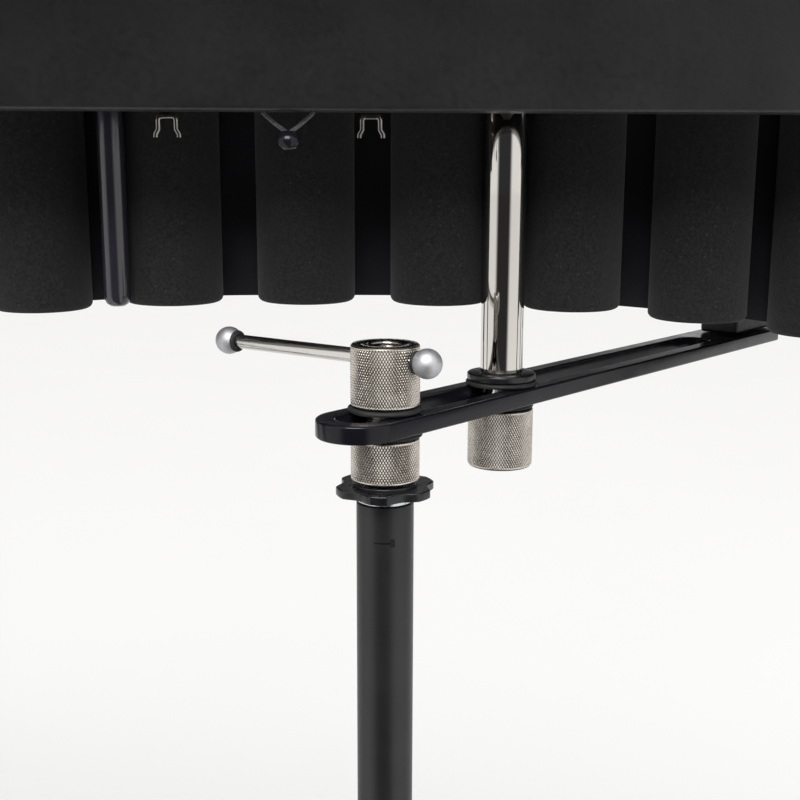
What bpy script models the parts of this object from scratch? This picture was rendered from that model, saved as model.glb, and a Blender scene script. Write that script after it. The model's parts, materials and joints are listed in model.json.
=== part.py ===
"""A three-octave vibraphone (F3 to F6) with a slotted damper linkage, in metres, +Z up.

The player stands at -Y, the bass end is at -X, and the origin is on the floor under the middle.
The two bar rows, their resonator banks and their fan shafts run at ROW_SLOPE to the X axis, one
mirrored from the other. The linkage stands in front of natural key LINK_KEY: a pedal rod clamped
in a slotted arm, which a block at its far end joins to the damper bar between the two rows.
"""

import math

import bmesh
import bpy
from mathutils import Matrix, Vector

# ---------------------------------------------------------------- driving dimensions
GAP = 0.0003  # between pieces that touch

# Keyboard: groups of (keys, pitch); accidentals sit between the naturals.
KEY_GROUPS = ((13, 0.0573), (5, 0.0527), (4, 0.0470))
WHITE_STEPS = (2, 2, 2, 1, 2, 2, 1)  # semitones from F to G, A, B, C, D, E, F
BAR_GAP = 0.005
BAR_THICKNESS = 0.0125
BAR_TOP = 0.8905
BASS_LENGTH = 0.375  # bar length at the bass edge of the keyboard
TREBLE_LENGTH = 0.205
ROW_GAP = 0.009  # between the inner ends of the two rows
NODE_SHARE = 0.276  # nodal lines, as a share of bar length from the bar's middle
CORD_WIDTH = 0.003

# Rails and end frames
END_INNER = 0.640
END_OUTER = 0.680
RAIL_WIDTH = 0.020
RAIL_LOW = 0.808
RAIL_TOP = 0.862
POST_SIZE = (0.003, 0.005)
TOP_BEAM = (0.800, 0.866)
TOP_BEAM_HALF = {"bass": 0.345, "treble": 0.215}
UPRIGHT_Y = {"bass": 0.200, "treble": 0.150}
UPRIGHT_SIZE = (0.026, 0.052)
FOOT_BEAM = (0.085, 0.125)
FOOT_HALF = 0.350
CROSS_BAR_Y = -0.055
CROSS_BAR_SIZE = (0.030, 0.030)
SHELF_Z = (0.802, 0.808)
SHELF_REACH = 0.090

# Resonator banks
TUBE_TOP = 0.856
TUBE_RADIUS = 0.021
TREBLE_TUBE_RADIUS = 0.019
TUBE_WALL = 0.0012
TUBE_SIDES = 10
ARCH_TOP = 0.7316  # highest tube bottom
ARCH_X = 0.030
BASS_DROP = 0.353
BASS_POWER = 3.1
TREBLE_CURVE = 0.36  # drop in metres per metre squared
PANEL_TOP = 0.850
PANEL_MARGIN = 0.024  # beyond the first and last tubes' axes
PANEL_TAB = 0.015
PANEL_THICKNESS = 0.0025

# Fans and their drive
SHAFT_Z = 0.8600
SHAFT_RADIUS = 0.003
DISC_RADIUS = 0.0165
DISC_THICKNESS = 0.0012
PULLEY_X = 0.620
FAN_PULLEY_RADIUS = 0.012
MOTOR_PULLEY_RADIUS = 0.008
MOTOR_PULLEY_Z = 0.750
BELT_RADIUS = 0.0014
MOTOR_BOX = (0.120, 0.080)  # along Y and Z

# Damper linkage, set out from the natural key LINK_KEY, along and across its row
LINK_KEY = 12
ROD_FROM_KEY = (-0.0223, -0.0730)
ARM_FROM_ROW_NORMAL = math.radians(41.0)
ARM_TOP = 0.6977
ARM_THICKNESS = 0.0070
ARM_WIDTH = 0.0320
ARM_NOSE = -0.015
ARM_END = 0.328
SLOT_WIDTH = 0.0166
SLOT_END = 0.249
GUIDE_ALONG = 0.0742
GUIDE_RADIUS = 0.009
GUIDE_TOP = 0.848
BLOCK_SPAN = (0.278, 0.322)
BLOCK_WIDTH = 0.022
PEDAL_ROD_RADIUS = 0.0111
PEDAL_ROD_TOP = 0.6627
STUD_RADIUS = 0.0070
RUBBER = 0.0022
CLAMP_NUT_RADIUS = 0.0132
CLAMP_NUT_HEIGHT = 0.0236
LOCK_NUT_HEIGHT = 0.0175
GLAND_NUT_RADIUS = 0.0139
GLAND_NUT_HEIGHT = 0.0256
TOMMY_ANGLE = math.radians(-35.0)  # from the row's direction
TOMMY_Z = 0.7179
TOMMY_RADIUS = 0.0029
TOMMY_BALL = 0.0057
TOMMY_NEAR = 0.0190
TOMMY_FAR = 0.0796
DAMPER_HALF = 0.585
FELT_TOP = 0.8777
FELT_SIZE = (0.036, 0.008)
CHANNEL_SIZE = (0.040, 0.0125)
CHANNEL_WALL = 0.002
SPRING_X = 0.565
SPRING_RADIUS = 0.008

# Pedal
HINGE_Y = -0.077
HINGE_Z = 0.064
PEDAL_FRONT = -0.375
PEDAL_HALF = 0.100
PEDAL_LOW = 0.058
PEDAL_TOP = 0.070
PIN_RADIUS = 0.003

# Casters
CASTER_Y = 0.310
WHEEL_RADIUS = 0.0375
WHEEL_WIDTH = 0.024
WHEEL_SIDES = 20
TRAIL = 0.024
FORK_BRIDGE = (0.0765, 0.0815)


# ---------------------------------------------------------------- set-out
def lay_out_keys():
    """The naturals' (x, pitch), bass to treble, centred on x = 0."""
    total = sum(count * pitch for count, pitch in KEY_GROUPS)
    edge = -total / 2
    keys = []
    for count, pitch in KEY_GROUPS:
        for _ in range(count):
            keys.append((edge + pitch / 2, pitch))
            edge += pitch
    return keys, total / 2


NATURALS, KEYBOARD_HALF = lay_out_keys()
LENGTH_SLOPE = (TREBLE_LENGTH - BASS_LENGTH) / (2 * KEYBOARD_HALF)
ROW_SLOPE = math.atan(-LENGTH_SLOPE / 2)


def bar_length(x):
    return BASS_LENGTH + LENGTH_SLOPE * (x + KEYBOARD_HALF)


def row_y(x):
    """The natural row's middle; the accidental row's is the same with the sign changed."""
    return -(ROW_GAP + bar_length(x)) / 2


def rail_y(x, inner):
    return row_y(x) + (NODE_SHARE if inner else -NODE_SHARE) * bar_length(x)


def lay_out_accidentals():
    """The accidentals' (x, pitch): one between each two naturals that are a whole tone apart."""
    accidentals = []
    for i in range(len(NATURALS) - 1):
        if WHITE_STEPS[i % len(WHITE_STEPS)] == 2:
            low, high = NATURALS[i][0], NATURALS[i + 1][0]
            accidentals.append(((low + high) / 2, high - low))
    return accidentals


ACCIDENTALS = lay_out_accidentals()
ROWS = (("natural", 1, NATURALS), ("accidental", -1, ACCIDENTALS))  # name, side, keys

ALONG = Vector((math.cos(ROW_SLOPE), math.sin(ROW_SLOPE), 0))
ACROSS = Vector((-math.sin(ROW_SLOPE), math.cos(ROW_SLOPE), 0))
LINK_X = NATURALS[LINK_KEY - 1][0]
ROD_AXIS = Vector((LINK_X, row_y(LINK_X), 0)) + ALONG * ROD_FROM_KEY[0] + ACROSS * ROD_FROM_KEY[1]
ARM_YAW = math.pi / 2 + ROW_SLOPE - ARM_FROM_ROW_NORMAL
ARM_LINE = Vector((math.cos(ARM_YAW), math.sin(ARM_YAW), 0))
GUIDE_AXIS = ROD_AXIS + ARM_LINE * GUIDE_ALONG
ARM_LOW = ARM_TOP - ARM_THICKNESS


# ---------------------------------------------------------------- materials
def material(name, colour, roughness, metallic=0.0):
    made = bpy.data.materials.new(name)
    made.use_nodes = True
    shader = made.node_tree.nodes["Principled BSDF"]
    shader.inputs["Base Color"].default_value = (*colour, 1.0)
    shader.inputs["Roughness"].default_value = roughness
    shader.inputs["Metallic"].default_value = metallic
    return made


def own(name, base):
    """The node's own copy of a finish."""
    kinds = {
        "frame_black": ((0.018, 0.018, 0.020), 0.38, 0.0),
        "gloss_black": ((0.012, 0.012, 0.014), 0.22, 0.0),
        "tube_black": ((0.010, 0.010, 0.011), 0.92, 0.0),
        "bar_silver": ((0.72, 0.70, 0.66), 0.36, 1.0),
        "nickel": ((0.66, 0.61, 0.55), 0.28, 1.0),
        "chrome": ((0.80, 0.78, 0.76), 0.10, 1.0),
        "aluminium": ((0.70, 0.70, 0.71), 0.45, 1.0),
        "zinc": ((0.74, 0.78, 0.80), 0.30, 1.0),
        "rubber": ((0.012, 0.012, 0.012), 0.75, 0.0),
        "plastic": ((0.020, 0.020, 0.022), 0.45, 0.0),
        "felt": ((0.050, 0.050, 0.055), 0.95, 0.0),
    }
    colour, roughness, metallic = kinds[base]
    return material(name + "_" + base, colour, roughness, metallic)


# ---------------------------------------------------------------- modelling helpers
def add(name, bm, finish, location=(0, 0, 0), yaw=0.0, round_piece=False):
    """Makes the object for a finished bmesh."""
    bmesh.ops.recalc_face_normals(bm, faces=bm.faces)
    mesh = bpy.data.meshes.new(name)
    bm.to_mesh(mesh)
    bm.free()
    if round_piece:
        mesh.shade_smooth()
        mesh.set_sharp_from_angle(angle=math.radians(40))
    piece = bpy.data.objects.new(name, mesh)
    piece.location = location
    piece.rotation_euler = (0, 0, yaw)
    bpy.context.collection.objects.link(piece)
    if finish:
        mesh.materials.append(own(name, finish))
    return piece


def box_into(bm, low, high):
    low, high = Vector(low), Vector(high)
    size = high - low
    place = Matrix.Translation((low + high) / 2) @ Matrix.Diagonal((*size, 1))
    bmesh.ops.create_cube(bm, size=1, matrix=place)


def box(name, low, high, finish, location=(0, 0, 0), yaw=0.0):
    bm = bmesh.new()
    box_into(bm, low, high)
    return add(name, bm, finish, location, yaw)


def prism_into(bm, outline, along):
    """Extrudes a flat outline of 3-D points by a vector."""
    face = bm.faces.new([bm.verts.new(point) for point in outline])
    grown = bmesh.ops.extrude_face_region(bm, geom=[face])
    moved = [item for item in grown["geom"] if isinstance(item, bmesh.types.BMVert)]
    bmesh.ops.translate(bm, verts=moved, vec=along)


def turned_into(bm, profile, segments, phase=0.0, matrix=None):
    """Spins a profile of (radius, z) about Z. A profile that starts and ends on the axis is solid."""
    turn = Matrix.Rotation(phase, 4, "Z")
    verts = [bm.verts.new(turn @ Vector((radius, 0, z))) for radius, z in profile]
    pairs = list(zip(verts, verts[1:]))
    if profile[0][0] > 0:
        pairs.append((verts[-1], verts[0]))
    edges = [bm.edges.new(pair) for pair in pairs]
    before = set(bm.verts) - set(verts)
    bmesh.ops.spin(
        bm, geom=verts + edges, cent=(0, 0, 0), axis=(0, 0, 1),
        angle=2 * math.pi, steps=segments, use_merge=True,
    )
    made = [vert for vert in bm.verts if vert not in before]
    bmesh.ops.remove_doubles(bm, verts=made, dist=1e-6)
    if matrix:
        made = [vert for vert in bm.verts if vert not in before]
        bmesh.ops.transform(bm, matrix=matrix, verts=made)


def turned(name, profile, finish, location=(0, 0, 0), segments=24, phase=0.0, matrix=None, yaw=0.0):
    bm = bmesh.new()
    turned_into(bm, profile, segments, phase, matrix)
    return add(name, bm, finish, location, yaw, round_piece=True)


def ring_profile(bore, outer, low, high, chamfer=0.0):
    """The half section of a ring or bored nut, with its outer edges chamfered."""
    if not chamfer:
        return [(bore, low), (outer, low), (outer, high), (bore, high)]
    return [
        (bore, low), (outer - chamfer, low), (outer, low + chamfer),
        (outer, high - chamfer), (outer - chamfer, high), (bore, high),
    ]


def solid_profile(outer, low, high):
    return [(0, low), (outer, low), (outer, high), (0, high)]


def combine(target, tool, operation):
    """Adds a Boolean that keeps the tool as a hidden guide."""
    tool.hide_render = True
    tool.display_type = "WIRE"
    modifier = target.modifiers.new(operation.title(), "BOOLEAN")
    modifier.operation = operation
    modifier.object = tool
    return target


def half_round(centre_s, radius, start, steps):
    """Points of a half circle in the arm's plan, from the start angle, anticlockwise."""
    return [
        (centre_s + radius * math.cos(start + math.pi * i / steps),
         radius * math.sin(start + math.pi * i / steps))
        for i in range(steps + 1)
    ]


AXIS_ALONG_X = Matrix.Rotation(math.pi / 2, 4, "Y")
AXIS_ALONG_Y = Matrix.Rotation(math.pi / 2, 4, "X")


# ---------------------------------------------------------------- frame
def build_end_frames():
    middle = (END_INNER + END_OUTER) / 2
    for end, side in (("bass", -1), ("treble", 1)):
        xs = sorted((side * END_INNER, side * END_OUTER))
        box(f"{end}_foot_beam", (xs[0], -FOOT_HALF, FOOT_BEAM[0]), (xs[1], FOOT_HALF, FOOT_BEAM[1]),
            "frame_black")
        half = TOP_BEAM_HALF[end]
        beam = box(f"{end}_top_beam", (xs[0], -half, TOP_BEAM[0]), (xs[1], half, TOP_BEAM[1]),
                   "frame_black")
        shelf_x = sorted((side * (END_INNER + 0.005), side * (END_INNER - SHELF_REACH)))
        shelf = box(f"{end}_spring_shelf", (shelf_x[0], -0.016, SHELF_Z[0]),
                    (shelf_x[1], 0.016, SHELF_Z[1]), None)
        combine(beam, shelf, "UNION")
        for place, hand in (("front", -1), ("back", 1)):
            x, y = side * middle, hand * UPRIGHT_Y[end]
            half_x, half_y = UPRIGHT_SIZE[0] / 2, UPRIGHT_SIZE[1] / 2
            box(f"{end}_{place}_upright", (x - half_x, y - half_y, FOOT_BEAM[1] + GAP),
                (x + half_x, y + half_y, TOP_BEAM[0] - GAP), "frame_black")


def build_cross_bar():
    """The lower cross bar, with the pedal's two lugs and its hinge pin."""
    half_y, half_z = CROSS_BAR_SIZE[0] / 2, CROSS_BAR_SIZE[1] / 2
    middle_z = (FOOT_BEAM[0] + FOOT_BEAM[1]) / 2
    reach = END_INNER - GAP
    bar = box("lower_cross_bar", (-reach, CROSS_BAR_Y - half_y, middle_z - half_z),
              (reach, CROSS_BAR_Y + half_y, middle_z + half_z), "frame_black")
    bm = bmesh.new()
    lug_x = PEDAL_HALF + 0.001
    for side in (-1, 1):
        xs = sorted((side * lug_x, side * (lug_x + 0.004)))
        box_into(bm, (ROD_AXIS.x + xs[0], HINGE_Y - 0.008, HINGE_Z - 0.008),
                 (ROD_AXIS.x + xs[1], CROSS_BAR_Y + half_y - 0.004, middle_z - half_z + 0.004))
    lugs = add("pedal_lugs", bm, None)
    pin = turned("pedal_pin", solid_profile(PIN_RADIUS, -lug_x - 0.003, lug_x + 0.003), None,
                 (ROD_AXIS.x, HINGE_Y, HINGE_Z), 12, matrix=AXIS_ALONG_X)
    combine(bar, lugs, "UNION")
    combine(bar, pin, "UNION")


def build_rails():
    """Four rails, each one solid with the cord posts that stand on it between the bars."""
    natural_posts = [x - pitch / 2 for x, pitch in NATURALS] + [KEYBOARD_HALF]
    accidental_posts = [x for x, _ in NATURALS[:-1]]
    cord_low = BAR_TOP - BAR_THICKNESS / 2 - CORD_WIDTH / 2
    reach = END_INNER - GAP
    for row, hand, posts in (("natural", 1, natural_posts), ("accidental", -1, accidental_posts)):
        for place, inner in (("outer", False), ("inner", True)):
            bm = bmesh.new()
            half = RAIL_WIDTH / 2
            plan = [(-reach, -half), (reach, -half), (reach, half), (-reach, half)]
            outline = [(x, hand * rail_y(x, inner) + shift, RAIL_LOW) for x, shift in plan]
            prism_into(bm, outline, (0, 0, RAIL_TOP - RAIL_LOW))
            rail = add(f"{row}_{place}_rail", bm, "frame_black")
            bm = bmesh.new()
            for x in posts:
                y = hand * rail_y(x, inner)
                half_x, half_y = POST_SIZE[0] / 2, POST_SIZE[1] / 2
                box_into(bm, (x - half_x, y - half_y, RAIL_TOP - 0.003),
                         (x + half_x, y + half_y, cord_low - GAP))
            combine(rail, add(f"{row}_{place}_posts", bm, None), "UNION")


# ---------------------------------------------------------------- bars
def build_bars():
    """Each row's bars, strung on its two cords."""
    cord_z = BAR_TOP - BAR_THICKNESS / 2
    for row, hand, keys in ROWS:
        bm = bmesh.new()
        for x, pitch in keys:
            half_x, half_y = (pitch - BAR_GAP) / 2, bar_length(x) / 2
            y = hand * row_y(x)
            box_into(bm, (x - half_x, y - half_y, BAR_TOP - BAR_THICKNESS),
                     (x + half_x, y + half_y, BAR_TOP))
        bars = add(f"{row}_bars", bm, "bar_silver")
        bm = bmesh.new()
        start = keys[0][0] - keys[0][1] / 2 - 0.006
        stop = keys[-1][0] + keys[-1][1] / 2 + 0.006
        half = CORD_WIDTH / 2
        for inner in (False, True):
            y = hand * rail_y(start, inner)
            outline = [(start, y + dy, cord_z + dz)
                       for dy, dz in ((-half, 0), (0, half), (half, 0), (0, -half))]
            prism_into(bm, outline, (stop - start, hand * (rail_y(stop, inner) - rail_y(start, inner)), 0))
        combine(bars, add(f"{row}_cords", bm, None), "UNION")


# ---------------------------------------------------------------- resonators
def arch_bottom(x):
    """The naturals' tube bottoms follow one arch, highest near the linkage."""
    if x < ARCH_X:
        reach = ARCH_X - NATURALS[0][0]
        return ARCH_TOP - BASS_DROP * ((ARCH_X - x) / reach) ** BASS_POWER
    return ARCH_TOP - TREBLE_CURVE * (x - ARCH_X) ** 2


def tube_into(bm, x, y, yaw, radius, bottom):
    """A tube open at the top, with one flat towards the bank's panel."""
    wall = TUBE_WALL
    profile = [
        (0, bottom), (radius, bottom), (radius, TUBE_TOP),
        (radius - wall, TUBE_TOP), (radius - wall, bottom + wall), (0, bottom + wall),
    ]
    place = Matrix.Translation((x, y, 0)) @ Matrix.Rotation(yaw, 4, "Z")
    phase = math.pi / 2 + math.pi / TUBE_SIDES
    turned_into(bm, profile, TUBE_SIDES, phase, place)


def build_bank(row, hand, tubes, panel_bottom):
    """One bank: its panel, behind the tubes seen from outside, and the tubes joined to it."""
    apothem = TUBE_RADIUS * math.cos(math.pi / TUBE_SIDES)
    offset = apothem - 0.0004
    normal = Vector((-math.sin(ROW_SLOPE), math.cos(ROW_SLOPE) * hand, 0))

    def on_panel(x, z):
        return (x, hand * (row_y(x) + offset / math.cos(ROW_SLOPE)), z)

    bm = bmesh.new()
    reach = END_INNER - GAP
    tab_low = PANEL_TOP - PANEL_TAB
    start, stop = panel_bottom[0][0], panel_bottom[-1][0]
    outline = [on_panel(-reach, PANEL_TOP), on_panel(-reach, tab_low), on_panel(start, tab_low)]
    outline += [on_panel(x, z) for x, z in panel_bottom]
    outline += [on_panel(stop, tab_low), on_panel(reach, tab_low), on_panel(reach, PANEL_TOP)]
    prism_into(bm, outline, normal * PANEL_THICKNESS)
    bank = add(f"{row}_resonator_bank", bm, "tube_black")
    bm = bmesh.new()
    for x, pitch, bottom in tubes:
        radius = TUBE_RADIUS if pitch > 0.050 else TREBLE_TUBE_RADIUS
        shift = hand * (TUBE_RADIUS - radius) * math.cos(math.pi / TUBE_SIDES)
        yaw = ROW_SLOPE if hand > 0 else math.pi - ROW_SLOPE
        tube_into(bm, x, hand * row_y(x) + shift, yaw, radius, bottom)
    combine(bank, add(f"{row}_tubes", bm, None), "UNION")


def build_banks():
    """Both banks follow the same arch, tubes and panels alike."""
    steps = 16
    for row, hand, keys in ROWS:
        first, last = keys[0][0], keys[-1][0]
        start, span = first - PANEL_MARGIN, last - first + 2 * PANEL_MARGIN
        arch = [start + span * i / steps for i in range(steps + 1)]
        tubes = [(x, pitch, arch_bottom(x)) for x, pitch in keys]
        build_bank(row, hand, tubes, [(x, arch_bottom(min(max(x, first), last))) for x in arch])


# ---------------------------------------------------------------- fans and drive
def build_fans():
    """Each shaft is one solid with its discs and its pulley, and turns about its own length."""
    reach = END_INNER - 0.001
    for row, hand, keys in ROWS:
        middle = (0, hand * row_y(0), SHAFT_Z)
        slant = math.cos(ROW_SLOPE)
        shaft = turned(f"{row}_fan_shaft", solid_profile(SHAFT_RADIUS, -reach / slant, reach / slant),
                       "aluminium", middle, 6, matrix=AXIS_ALONG_X, yaw=hand * ROW_SLOPE)
        bm = bmesh.new()
        for x, pitch in keys:
            radius = DISC_RADIUS if pitch > 0.050 else DISC_RADIUS - 0.002
            half = DISC_THICKNESS / 2
            place = Matrix.Translation((x / slant, 0, 0)) @ Matrix.Rotation(math.radians(35), 4, "X")
            turned_into(bm, solid_profile(radius, -half, half), 8, math.pi / 8, place)
        place = Matrix.Translation((PULLEY_X / slant, 0, 0)) @ AXIS_ALONG_X
        turned_into(bm, solid_profile(FAN_PULLEY_RADIUS, -0.004, 0.004), 16, 0, place)
        discs = add(f"{row}_discs", bm, None, middle, hand * ROW_SLOPE)
        combine(shaft, discs, "UNION")


def build_drive():
    half_y = MOTOR_BOX[0] / 2
    high = TOP_BEAM[0] - GAP
    low = high - MOTOR_BOX[1]
    box("motor_box", (END_INNER, -half_y, low), (END_OUTER, half_y, high), "plastic")
    turned("motor_pulley",
           [(0, PULLEY_X - 0.004), (MOTOR_PULLEY_RADIUS, PULLEY_X - 0.004),
            (MOTOR_PULLEY_RADIUS, PULLEY_X + 0.004), (0.003, PULLEY_X + 0.004),
            (0.003, END_INNER - GAP), (0, END_INNER - GAP)],
           "aluminium", (0, 0, MOTOR_PULLEY_Z), 16, matrix=AXIS_ALONG_X)
    knob_z = low + MOTOR_BOX[1] / 2
    knob_x = (END_INNER + END_OUTER) / 2
    turned("speed_knob",
           [(0, 0), (0.010, 0), (0.011, -0.002), (0.011, -0.012), (0.009, -0.014), (0, -0.014)],
           "plastic", (knob_x - 0.006, -half_y - GAP, knob_z + 0.016), 16, matrix=AXIS_ALONG_Y @
           Matrix.Rotation(math.pi, 4, "X"))
    box("power_switch", (-0.006, -0.0045, -0.009), (0.006, 0, 0.009), "plastic",
        (knob_x - 0.006, -half_y - 0.0022, knob_z - 0.018))
    build_belt()


def build_belt():
    """One round belt over both fan pulleys and the motor pulley."""
    fan_y = row_y(PULLEY_X)
    clear = BELT_RADIUS + 2 * GAP
    wheels = (
        (fan_y, SHAFT_Z, FAN_PULLEY_RADIUS + clear), (0.0, MOTOR_PULLEY_Z, MOTOR_PULLEY_RADIUS + clear),
        (-fan_y, SHAFT_Z, FAN_PULLEY_RADIUS + clear),
    )
    points = []
    steps = 5
    for i, (y, z, radius) in enumerate(wheels):
        before, after = wheels[i - 1], wheels[(i + 1) % 3]
        start = tangent_angle(before, (y, z, radius))
        stop = tangent_angle((y, z, radius), after)
        while stop < start:
            stop += 2 * math.pi
        for k in range(steps + 1):
            angle = start + (stop - start) * k / steps
            points.append((PULLEY_X, y + radius * math.cos(angle), z + radius * math.sin(angle)))
    curve = bpy.data.curves.new("drive_belt", "CURVE")
    curve.dimensions = "3D"
    curve.bevel_depth = BELT_RADIUS
    curve.bevel_resolution = 0
    spline = curve.splines.new("POLY")
    spline.points.add(len(points) - 1)
    spline.use_cyclic_u = True
    for slot, point in zip(spline.points, points):
        slot.co = (*point, 1)
    belt = bpy.data.objects.new("drive_belt", curve)
    curve.materials.append(own("drive_belt", "rubber"))
    bpy.context.collection.objects.link(belt)


def tangent_angle(first, second):
    """The angle at which a belt going anticlockwise leaves one pulley for the next."""
    dy, dz = second[0] - first[0], second[1] - first[1]
    reach = math.hypot(dy, dz)
    return math.atan2(dz, dy) - math.acos((first[2] - second[2]) / reach)


# ---------------------------------------------------------------- damper linkage
def build_arm():
    """The slotted arm: round nose, one long slot, square far end."""
    bm = bmesh.new()
    half = ARM_WIDTH / 2
    plan = half_round(ARM_NOSE, half, math.pi / 2, 12)
    plan += [(ARM_END - 0.006, -half), (ARM_END, 0.006 - half), (ARM_END, half - 0.006),
             (ARM_END - 0.006, half)]
    prism_into(bm, [(s, t, ARM_LOW) for s, t in plan], (0, 0, ARM_THICKNESS))
    arm = add("slotted_arm", bm, "gloss_black", ROD_AXIS, ARM_YAW)
    bm = bmesh.new()
    slot = half_round(ARM_NOSE, SLOT_WIDTH / 2, math.pi / 2, 10)
    slot += half_round(SLOT_END, SLOT_WIDTH / 2, -math.pi / 2, 10)
    prism_into(bm, [(s, t, ARM_LOW - 0.001) for s, t in slot], (0, 0, ARM_THICKNESS + 0.002))
    combine(arm, add("arm_slot", bm, None, ROD_AXIS, ARM_YAW), "DIFFERENCE")


def build_rod_clamp():
    """Everything on the pedal rod's axis, from the rod up to the nut with the cross handle."""
    at = tuple(ROD_AXIS)
    bore = STUD_RADIUS + 0.0006
    foot = PEDAL_TOP + 0.0006
    rod = [(0.0083, foot + 0.010), (0.005, foot + 0.008), (0.005, foot), (0.007, foot),
           (PEDAL_ROD_RADIUS, foot + 0.012), (PEDAL_ROD_RADIUS, PEDAL_ROD_TOP), (0.0083, PEDAL_ROD_TOP)]
    turned("pedal_rod", rod, "gloss_black", at, 20)
    turned("clamp_stud", solid_profile(STUD_RADIUS, PEDAL_ROD_TOP - 0.030, TOMMY_Z - 0.0045),
           "nickel", at, 12)
    level = PEDAL_ROD_TOP + GAP
    turned("zinc_washer", ring_profile(bore, 0.0109, level, PEDAL_ROD_TOP + 0.0030), "zinc", at)
    build_lobed_nut(PEDAL_ROD_TOP + 0.0030 + GAP, bore)
    lock_low = ARM_LOW - RUBBER - LOCK_NUT_HEIGHT
    turned("lock_nut", ring_profile(bore, CLAMP_NUT_RADIUS, lock_low + GAP, ARM_LOW - RUBBER - GAP, 0.0008),
           "nickel", at)
    washer = 0.01435
    turned("lower_clamp_washer", ring_profile(bore, washer, ARM_LOW - RUBBER, ARM_LOW - GAP), "rubber", at)
    turned("upper_clamp_washer", ring_profile(bore, washer, ARM_TOP + GAP, ARM_TOP + RUBBER), "rubber", at)
    low = ARM_TOP + RUBBER + GAP
    nut = turned("clamp_nut",
                 ring_profile(0.0076, CLAMP_NUT_RADIUS, low, low + CLAMP_NUT_HEIGHT, 0.0008), "nickel", at)
    yaw = ROW_SLOPE + TOMMY_ANGLE
    hole = turned("handle_hole", solid_profile(TOMMY_RADIUS + 0.0004, -0.020, 0.020), None,
                  (at[0], at[1], TOMMY_Z), 10, matrix=AXIS_ALONG_X, yaw=yaw)
    combine(nut, hole, "DIFFERENCE")
    build_tommy_bar(at, yaw)


def build_lobed_nut(low, bore):
    """A flat hand nut with six lobes between scallops, and a round boss on top."""
    lobes, outer, root = 6, 0.0203, 0.0166
    lead = ROW_SLOPE - math.radians(97)
    steps = 8
    outline = []
    for k in range(lobes * steps):
        share = (k % steps) / steps
        rise = 0.5 + 0.5 * math.cos(2 * math.pi * share)
        radius = root + (outer - root) * min(1.0, 1.35 * rise)
        angle = lead + 2 * math.pi * k / (lobes * steps)
        outline.append((radius * math.cos(angle), radius * math.sin(angle), low))
    bm = bmesh.new()
    prism_into(bm, outline, (0, 0, 0.0034))
    nut = add("lobed_nut", bm, "plastic", tuple(ROD_AXIS))
    boss = turned("lobed_boss", solid_profile(0.0126, low + 0.001, low + 0.0043), None, tuple(ROD_AXIS), 20)
    hole = turned("lobed_bore", solid_profile(bore, low - 0.002, low + 0.006), None, tuple(ROD_AXIS), 16)
    combine(nut, boss, "UNION")
    combine(nut, hole, "DIFFERENCE")


def build_tommy_bar(at, yaw):
    """A round bar with a necked ball at each end, sliding through the clamp nut."""
    bar = TOMMY_RADIUS
    reach = TOMMY_BALL * 0.86
    profile = [(0, -TOMMY_FAR - TOMMY_BALL)]
    for angle in (-60, -30, 0, 30, 55):
        turn = math.radians(angle)
        profile.append((TOMMY_BALL * math.cos(turn), -TOMMY_FAR + TOMMY_BALL * math.sin(turn)))
    profile += [(bar, -TOMMY_FAR + reach), (bar, TOMMY_NEAR - reach)]
    for angle in (-55, -30, 0, 30, 60):
        turn = math.radians(angle)
        profile.append((TOMMY_BALL * math.cos(turn), TOMMY_NEAR + TOMMY_BALL * math.sin(turn)))
    profile.append((0, TOMMY_NEAR + TOMMY_BALL))
    turned("tommy_bar", profile, "aluminium", (at[0], at[1], TOMMY_Z), 12, matrix=AXIS_ALONG_X, yaw=yaw)


def build_guide():
    """The guide rod, clamped to the arm through the slot, and the saddle it slides in."""
    at = tuple(GUIDE_AXIS)
    flange_top = ARM_TOP + RUBBER + 0.0033
    stud = 0.0065
    nut_low = ARM_LOW - RUBBER - GLAND_NUT_HEIGHT
    rod = [(0, nut_low + 0.003), (stud, nut_low + 0.003), (stud, flange_top + GAP),
           (GUIDE_RADIUS, flange_top + GAP), (GUIDE_RADIUS, GUIDE_TOP), (0, GUIDE_TOP)]
    turned("guide_rod", rod, "chrome", at)
    bore = stud + 0.0006
    turned("upper_guide_washer", ring_profile(bore, 0.0151, ARM_TOP + GAP, ARM_TOP + RUBBER), "rubber", at)
    turned("guide_flange", ring_profile(bore, 0.0145, ARM_TOP + RUBBER + GAP, flange_top), "plastic", at)
    turned("lower_guide_washer", ring_profile(bore, 0.0140, ARM_LOW - RUBBER, ARM_LOW - GAP), "rubber", at)
    turned("gland_nut",
           ring_profile(bore, GLAND_NUT_RADIUS, nut_low, ARM_LOW - RUBBER - GAP, 0.0010), "nickel", at)
    face = rail_y(at[0], False) + RAIL_WIDTH / 2
    low, high = RAIL_LOW + 0.004, RAIL_LOW + 0.030
    saddle = box("guide_saddle", (at[0] - 0.0135, face + 0.0018, low), (at[0] + 0.0135, at[1] - 0.003, high),
                 "frame_black")
    notch = turned("saddle_notch", solid_profile(GUIDE_RADIUS + 0.0005, low - 0.002, high + 0.002), None, at)
    combine(saddle, notch, "DIFFERENCE")


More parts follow.
